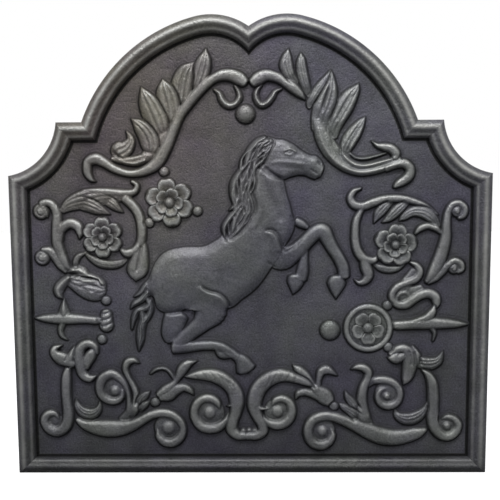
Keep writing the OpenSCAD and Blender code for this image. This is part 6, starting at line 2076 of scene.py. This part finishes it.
@dataclass
class Border(Dressed):
    """The moulded border, run in nine lengths that meet in mitres.

    The bottom length is low_slim narrower inside. From low_face's first to its second
    distance from the outer edge, on its face that leans down, it has low_shade of painted
    shade. Over low_lit_span it has low_highlight of painted highlight on its band that
    faces up, and nearer the outer edge none of the crest's wear.
    """

    slot = Slot.BORDER
    half_width: float = 250.0
    height: float = 480.0
    side_height: float = 318.5
    step_half_width: float = 199.0
    step_height: float = 373.0
    arch_half_width: float = 172.5
    cove_radius: float = 61.0
    lobe_radius: float = 170.0
    lobe_top: float = 38.5
    notch_drop: float = 12.0
    width: float = 18.5
    low_slim: float = 1.8
    # painted shade on the bottom's face that leans down, and painted highlight on its band that faces
    # up
    low_shade: float = 0.12
    low_highlight: float = 0.3
    low_face: tuple[float, float] = (0.1, 9.0)
    low_lit_span: tuple[float, float] = (10.0, 14.0)
    spacing: float = 2.0
    crease_angle: float = 38.0
    # along the section, the black is soot with painted shade: the line in the recess at the inner foot
    # and a little in the cove; the lighter colour is wear on the crest and on the bead
    section: tuple[MouldingPoint, ...] = tuple(MouldingPoint(*row) for row in (
        (0.0, -SEAT, 0.0, 0.0), (0.0, 2.5, 0.0, 0.0), (0.0, 4.6, 0.0, 0.1), (0.2, 5.1, 0.0, 0.15),
        (1.0, 6.1, 0.0, 0.05), (2.2, 7.2, 0.0, 0.05), (3.6, 8.3, 0.0, 0.15), (4.9, 9.15, 0.0, 0.6),
        (6.0, 9.7, 0.0, 1.0), (7.2, 10.0, 0.0, 1.0), (8.4, 9.95, 0.0, 0.6), (9.6, 9.5, 0.0, 0.15),
        (10.8, 8.75, 0.05, 0.0), (11.8, 8.05, 0.15, 0.0), (12.8, 7.55, 0.15, 0.0),
        (13.8, 7.3, 0.05, 0.15), (14.8, 7.15, 0.0, 0.4), (15.7, 6.6, 0.0, 0.45),
        (16.6, 5.5, 0.0, 0.15), (17.4, 4.1, 0.05, 0.0), (18.1, 2.5, 0.3, 0.0),
        (18.6, 1.0, 1.0, 0.0), (19.1, 0.3, 1.0, 0.0), (20.0, 0.1, 1.0, 0.0), (20.8, 0.06, 0.9, 0.0),
        (21.8, FILM, 0.0, 0.0), (21.8, -SEAT, 0.0, 0.0),
    ))

    def __post_init__(self) -> None:
        """Works out the corners, arcs and inner corners of the outline."""
        w = self.width
        shoulder = np.array([self.half_width, self.side_height])
        step = np.array([self.step_half_width, self.step_height])
        foot = np.array([self.arch_half_width, self.step_height])
        chord = step - shoulder
        run = chord / np.hypot(*chord)
        sag = math.sqrt(self.cove_radius**2 - (np.hypot(*chord) / 2) ** 2)
        self.cove_centre = (shoulder + step) / 2 - np.array([-run[1], run[0]]) * sag
        self.nose_radius = (self.lobe_top**2 + self.notch_drop**2) / (2 * self.notch_drop)
        self.nose_centre = np.array([self.lobe_top, self.height - self.nose_radius])
        gap = self.nose_centre - foot
        span = float(np.hypot(*gap))
        along = self.lobe_radius**2 - (self.lobe_radius - self.nose_radius) ** 2 + span**2
        along /= 2 * span
        way = gap / span
        self.lobe_centre = foot + way * along + np.array([-way[1], way[0]]) * math.sqrt(
            self.lobe_radius**2 - along**2)
        in_x, in_z = self.half_width - w, self.step_height - w
        c, r = self.cove_centre, self.cove_radius + w
        shoulder_in = np.array([in_x, c[1] - math.sqrt(r**2 - (c[0] - in_x) ** 2)])
        step_in = np.array([c[0] - math.sqrt(r**2 - (c[1] - in_z) ** 2), in_z])
        c, r = self.lobe_centre, self.lobe_radius - w
        foot_in = np.array([c[0] + math.sqrt(r**2 - (in_z - c[1]) ** 2), in_z])
        notch = np.array([0.0, self.height - self.notch_drop])
        inner = self.nose_radius - w
        notch_in = np.array([0.0, self.nose_centre[1]
                             + math.sqrt(max(inner**2 - self.lobe_top**2, 0.0))])
        joint = self.nose_centre - self.lobe_centre
        joint = joint / np.hypot(*joint)
        top = self.lobe_centre + joint * self.lobe_radius
        top_in = self.lobe_centre + joint * (self.lobe_radius - w)
        self.outer = {
            "corner": np.array([self.half_width, 0.0]), "shoulder": shoulder, "step": step,
            "foot": foot, "top": top, "notch": notch}
        self.inner = {
            "corner": np.array([in_x, w - self.low_slim]), "shoulder": shoulder_in, "step": step_in,
            "foot": foot_in, "top": top_in, "notch": notch_in}

    def line(self, a: Array, b: Array, count: int = 0) -> Array:
        """Returns points along a straight line.

        Args:
            a: Its start.
            b: Its end.
            count: How many points; if 0, as many as the border's spacing gives.

        Returns:
            The points.
        """
        count = count or max(2, int(np.hypot(*(b - a)) / self.spacing))
        t = np.linspace(0.0, 1.0, count)[:, None]
        return a + (b - a) * t

    @staticmethod
    def arc(centre: Array, a: Array, b: Array, count: int) -> Array:
        """Returns points along the shorter arc between two points.

        Args:
            centre: The arc's centre.
            a: Its start.
            b: Its end.
            count: How many points.

        Returns:
            The points.
        """
        radius = np.hypot(*(a - centre))
        t0 = math.atan2(a[1] - centre[1], a[0] - centre[0])
        t1 = math.atan2(b[1] - centre[1], b[0] - centre[0])
        t1 += 2 * math.pi * round((t0 - t1) / (2 * math.pi))
        t = np.linspace(t0, t1, count)
        return centre + radius * np.stack([np.cos(t), np.sin(t)], axis=1)

    def rails(self, name: str) -> tuple[Array, Array]:
        """Returns the outer and inner edge of one length of the border.

        Args:
            name: bottom, side, cove, step or lobe.

        Returns:
            The points of the outer edge and of the inner edge, the right side's.
        """
        ends = {
            "bottom": ("corner", "corner"), "side": ("corner", "shoulder"), "step": ("step", "foot")}
        edges = (self.outer, self.inner)
        if name in ends:
            first, last = ends[name]
            turn = np.array([-1.0 if name == "bottom" else 1.0, 1.0])
            count = len(self.line(self.outer[first] * turn, self.outer[last]))
            return tuple(self.line(e[first] * turn, e[last], count) for e in edges)
        if name == "cove":
            return tuple(self.arc(self.cove_centre, e["shoulder"], e["step"], 40) for e in edges)
        return tuple(np.vstack([
            self.arc(self.lobe_centre, e["foot"], e["top"], 90),
            self.arc(self.nose_centre, e["top"], e["notch"], 30)[1:]]) for e in edges)

    def sweep_tree(self) -> dict[str, object]:
        """Makes the geometry tree that runs a section between two rails.

        Returns:
            The tree and its inputs' identifiers.
        """
        t = Tree("run_moulding", "GeometryNodeTree")
        t.socket("Geometry", "NodeSocketGeometry")
        ids = {
            "section": t.socket("Section", "NodeSocketObject"),
            "stations": t.socket("Stations", "NodeSocketInt", default=10),
            "points": t.socket("Section points", "NodeSocketInt", default=10),
            "width": t.socket("Width", "NodeSocketFloat", default=0.0185),
            "wave": t.socket("Casting wave", "NodeSocketFloat", default=0.00012),
            "material": t.socket("Material", "NodeSocketMaterial")}
        t.socket("Geometry", "NodeSocketGeometry", "OUTPUT")
        given = t.add("NodeGroupInput").outputs
        index = t.add("GeometryNodeInputIndex").outputs[0]
        station = t.maths("FLOOR", t.maths("DIVIDE", t.plus(index, 0.5), given["Section points"]))
        point = t.maths("SUBTRACT", index, t.times(station, given["Section points"]))
        grid = t.add("GeometryNodeMeshGrid", {
            "Size X": 1.0, "Size Y": 1.0, "Vertices X": given["Stations"],
            "Vertices Y": given["Section points"]}).outputs["Mesh"]
        section = t.add("GeometryNodeObjectInfo", {"Object": given["Section"]}).outputs["Geometry"]
        place = t.add("GeometryNodeInputPosition").outputs[0]

        def sample(source: bpy.types.NodeSocket, value: bpy.types.NodeSocket,
                   at: bpy.types.NodeSocket, kind: str) -> bpy.types.NodeSocket:
            """What the source holds at that index."""
            return t.add("GeometryNodeSampleIndex", {0: source, "Value": value, "Index": at},
                         data_type=kind, domain="POINT").outputs[0]

        def held(name: str) -> bpy.types.NodeSocket:
            """The attribute of that name."""
            node = t.add("GeometryNodeInputNamedAttribute", {"Name": name}, data_type="FLOAT")
            return node.outputs[0]

        rails = given["Geometry"]
        outer = sample(rails, place, station, "FLOAT_VECTOR")
        inner = sample(rails, place, t.plus(station, given["Stations"]), "FLOAT_VECTOR")
        form = t.add("ShaderNodeSeparateXYZ", {
            0: sample(section, place, point, "FLOAT_VECTOR")}).outputs
        opened = sample(rails, held("opened"), station, "FLOAT")
        closed = t.maths("SUBTRACT", 1.0, opened)
        share = t.times(t.maths("DIVIDE", form[0], given["Width"]), opened)
        share = t.plus(share, t.times(0.5, closed))
        span = t.vector("SUBTRACT", {0: inner, 1: outer})
        base = t.vector("ADD", {0: outer, 1: t.vector("SCALE", {0: span, "Scale": share})})
        wave = t.add("ShaderNodeTexNoise", {
            "Vector": base, "Scale": 90.0, "Detail": 2.0}).outputs["Fac"]
        wave = t.times(t.maths("SUBTRACT", wave, 0.5), t.times(given["Casting wave"], 2.0))
        high = t.maths("GREATER_THAN", form[1], 0.002)
        level = t.maths("MINIMUM", t.plus(form[1], t.times(wave, high)), 0.01)
        level = t.plus(t.times(level, opened), t.times(0.001, closed))
        lift = t.add("ShaderNodeCombineXYZ", {1: t.times(level, -1.0)}).outputs[0]
        where = t.vector("ADD", {0: base, 1: lift})
        made = t.add("GeometryNodeSetPosition", {"Geometry": grid, "Position": where}).outputs[0]
        for name in ("soot", "rub"):
            made = t.add("GeometryNodeStoreNamedAttribute", {
                "Geometry": made, "Name": name,
                "Value": sample(section, held(name), point, "FLOAT")},
                data_type="FLOAT", domain="POINT").outputs[0]
        made = t.add("GeometryNodeMergeByDistance", {"Geometry": made, "Distance": 1e-6}).outputs[0]
        made = t.add("GeometryNodeRealizeInstances", {0: made}).outputs[0]
        made = t.add("GeometryNodeSetMaterial", {
            "Geometry": made, "Material": given["Material"]}).outputs[0]
        t.add("NodeGroupOutput", {0: made})
        return {"tree": t.tree, **ids}

    def build(self) -> None:
        """Makes the nine lengths of the border."""
        sweep = self.sweep_tree()
        rows = [*self.section, self.section[0]]
        section = loose_points("moulding_section", np.array(
            [[p.across * MM, p.height * MM, 0.0] for p in rows]))
        self.pieces: dict[str, bpy.types.Object] = {}
        for name in ("bottom", "side", "cove", "step", "lobe"):
            soot = np.array([p.soot for p in rows])
            rub = np.array([p.rub for p in rows])
            if name == "bottom":
                # the bottom length: painted shade on its face that leans down, painted highlight on its
                # band that faces up, and no wear nearer the outer edge
                across = np.array([p.across for p in rows])
                face, worn_and_lit = self.low_face, self.low_lit_span
                soot = np.where((across > face[0]) & (across < face[1]), self.low_shade, soot)
                rub = np.where(across < worn_and_lit[1], self.low_highlight, rub)
                rub = np.where(across < worn_and_lit[0], 0.0, rub)
            set_attribute(section.data, "soot", soot)
            set_attribute(section.data, "rub", rub)
            outer, inner = self.rails(name)
            for side, sign in (("right", 1.0), ("left", -1.0)):
                if name == "bottom" and side == "left":
                    continue
                node = "border_bottom" if name == "bottom" else f"border_{name}_{side}"
                count = len(outer) + 2
                both = np.vstack([outer[:1], outer, outer[-1:], inner[:1], inner, inner[-1:]])
                points = loose_points(f"{node}_rails", np.stack(
                    [both[:, 0] * sign, np.zeros(2 * count), both[:, 1]], axis=1) * MM)
                opened = np.ones(2 * count)
                opened[[0, count - 1, count, 2 * count - 1]] = 0.0
                set_attribute(points.data, "opened", opened)
                piece = plain_piece(points, sweep["tree"], {
                    sweep["section"]: section, sweep["stations"]: count,
                    sweep["points"]: len(rows), sweep["width"]: self.width * MM,
                    sweep["material"]: bpy.data.materials[Slot.BORDER.value]}, f"{node}_run")
                face_outward(piece.data)
                piece.data.shade_smooth()
                piece.data.set_sharp_from_angle(angle=math.radians(self.crease_angle))
                self.pieces[node] = piece
        bpy.data.objects.remove(section)


def face_outward(mesh: bpy.types.Mesh) -> None:
    """Turns a closed mesh's faces outward.

    Args:
        mesh: The mesh.
    """
    mesh.calc_loop_triangles()
    verts = np.empty(len(mesh.vertices) * 3, np.float32)
    mesh.vertices.foreach_get("co", verts)
    verts = verts.reshape(-1, 3).astype(float)
    tris = np.empty(len(mesh.loop_triangles) * 3, np.int32)
    mesh.loop_triangles.foreach_get("vertices", tris)
    a, b, c = (verts[tris.reshape(-1, 3)[:, i]] for i in range(3))
    volume = float(np.einsum("ij,ij->i", a, np.cross(b, c)).sum()) / 6.0
    if volume < 0:
        mesh.flip_normals()


# ---- plate and studio


@dataclass
class Plate:
    """The flat plate behind the relief, as the CAD gives it."""

    node: str = "back_plate"

    def build(self) -> None:
        """Takes the plate from the frame."""
        self.piece = frame["nodes"][self.node]

    def dress(self, finishes: Finishes) -> None:
        """Gives the plate its finish."""
        finishes.dress(self.piece, Slot.FIELD)


@dataclass(frozen=True)
class Lamp:
    """A soft rectangular lamp: where it stands, what it looks at, size and power."""

    name: str
    place: tuple[float, float, float]
    aim: tuple[float, float, float]
    width: float
    height: float
    power: float


@dataclass
class Studio:
    """The camera, lamps, pale floor and white background."""

    focal_px: float = 800.0
    camera_mm: tuple[float, float, float] = (12.36, -832.9, 329.5)
    pitch: float = 83.844
    yaw: float = 0.848
    roll: float = -0.368
    photo_px: float = 500.0
    film_mm: float = 36.0
    floor_size: float = 6.0
    floor_grey: tuple[float, ...] = (0.45, 0.45, 0.45, 1.0)
    floor_glow: float = 0.88
    sky: tuple[float, ...] = (0.92, 0.96, 1.0, 1.0)
    sky_power: float = 0.35
    lamps: tuple[Lamp, ...] = (
        Lamp("key", (-0.1, -0.95, 1.55), (0.0, 0.0, 0.28), 0.6, 0.4, 30.0),
        Lamp("left_fill", (-1.3, -1.0, 0.8), (0.0, 0.0, 0.25), 0.6, 0.8, 3.0),
        Lamp("right_fill", (1.3, -1.0, 0.8), (0.0, 0.0, 0.25), 0.6, 0.8, 1.5))

    def build(self) -> None:
        """Sets up the camera, the lamps, the floor and the world."""
        scene = bpy.context.scene
        data = bpy.data.cameras.new("camera")
        data.sensor_width = self.film_mm
        data.lens = self.film_mm * self.focal_px / self.photo_px
        data.clip_start = 0.01
        camera = linked("camera", data)
        camera.matrix_world = (
            Matrix.Translation(Vector(self.camera_mm) * MM)
            @ Matrix.Rotation(math.radians(self.yaw), 4, "Z")
            @ Matrix.Rotation(math.radians(self.pitch), 4, "X")
            @ Matrix.Rotation(math.radians(self.roll), 4, "Z"))
        scene.camera = camera
        scene.view_settings.view_transform = "Standard"
        for lamp in self.lamps:
            light = bpy.data.lights.new(lamp.name, "AREA")
            light.shape = "RECTANGLE"
            light.size, light.size_y = lamp.width, lamp.height
            light.energy = lamp.power
            stand = linked(lamp.name, light)
            stand.location = lamp.place
            aim = Vector(lamp.aim) - Vector(lamp.place)
            stand.rotation_euler = aim.to_track_quat("-Z", "Y").to_euler()
        self.floor()
        self.world()

    def floor(self) -> None:
        """Lays the pale floor."""
        s = self.floor_size / 2
        mesh = bpy.data.meshes.new("floor")
        mesh.from_pydata([(-s, -s, 0), (s, -s, 0), (s, s, 0), (-s, s, 0)], [], [(0, 1, 2, 3)])
        floor = linked("floor", mesh)
        pale = bpy.data.materials.new("pale_floor")
        t = ShaderTree(pale)
        seen = t.add("ShaderNodeLightPath").outputs["Is Camera Ray"]
        shader = t.add("ShaderNodeBsdfPrincipled", {
            "Base Color": self.floor_grey, "Roughness": 0.9, "Emission Color": WHITE,
            "Emission Strength": t.times(seen, self.floor_glow)})
        t.add("ShaderNodeOutputMaterial", {"Surface": shader.outputs[0]})
        mesh.materials.append(pale)
        floor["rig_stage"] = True

    def world(self) -> None:
        """Makes the background white to the camera and soft grey to the iron."""
        world = bpy.data.worlds.new("studio")
        bpy.context.scene.world = world
        t = ShaderTree(world)
        ray = t.add("ShaderNodeLightPath").outputs
        seen = t.maths("MAXIMUM", ray["Is Camera Ray"], ray["Is Glossy Ray"])
        shown = t.maths("MAXIMUM", ray["Is Transmission Ray"], seen)
        soft = t.add("ShaderNodeBackground", {"Color": self.sky, "Strength": self.sky_power})
        white = t.add("ShaderNodeBackground", {"Color": WHITE, "Strength": 1.0})
        mix = t.add("ShaderNodeMixShader", {0: shown, 1: soft.outputs[0], 2: white.outputs[0]})
        t.add("ShaderNodeOutputWorld", {"Surface": mix.outputs[0]})


def main() -> None:
    """Builds the fireback, its finishes and the studio."""
    logging.basicConfig(level=logging.INFO, format="%(message)s")
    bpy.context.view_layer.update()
    finishes = Finishes()
    finishes.make()
    relief = Relief()
    bosses = Bosses(relief)
    groups = [
        crest(relief), leaf_heads(relief), leaf_tails(relief), buds(relief), bottom_scrolls(relief),
        side_scrolls(relief), spindles(relief), Horse(relief), bosses]
    for group in groups:
        group.carve()
    for mark in (*HORSE_CREASES, *CREST_MARKS, *LEAF_MARKS, *SCROLL_MARKS, *COIL_MARKS):
        relief.mark(mark)
    relief.settle()
    log.info("relief carved: %d carvings", len(relief.names))
    for group in (*groups, Border(), Plate()):
        group.build()
        group.dress(finishes)
    Studio().build()
    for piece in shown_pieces():
        log.info("%s: %d faces", piece.name, len(piece.data.polygons))


if __name__ == "__main__":
    main()
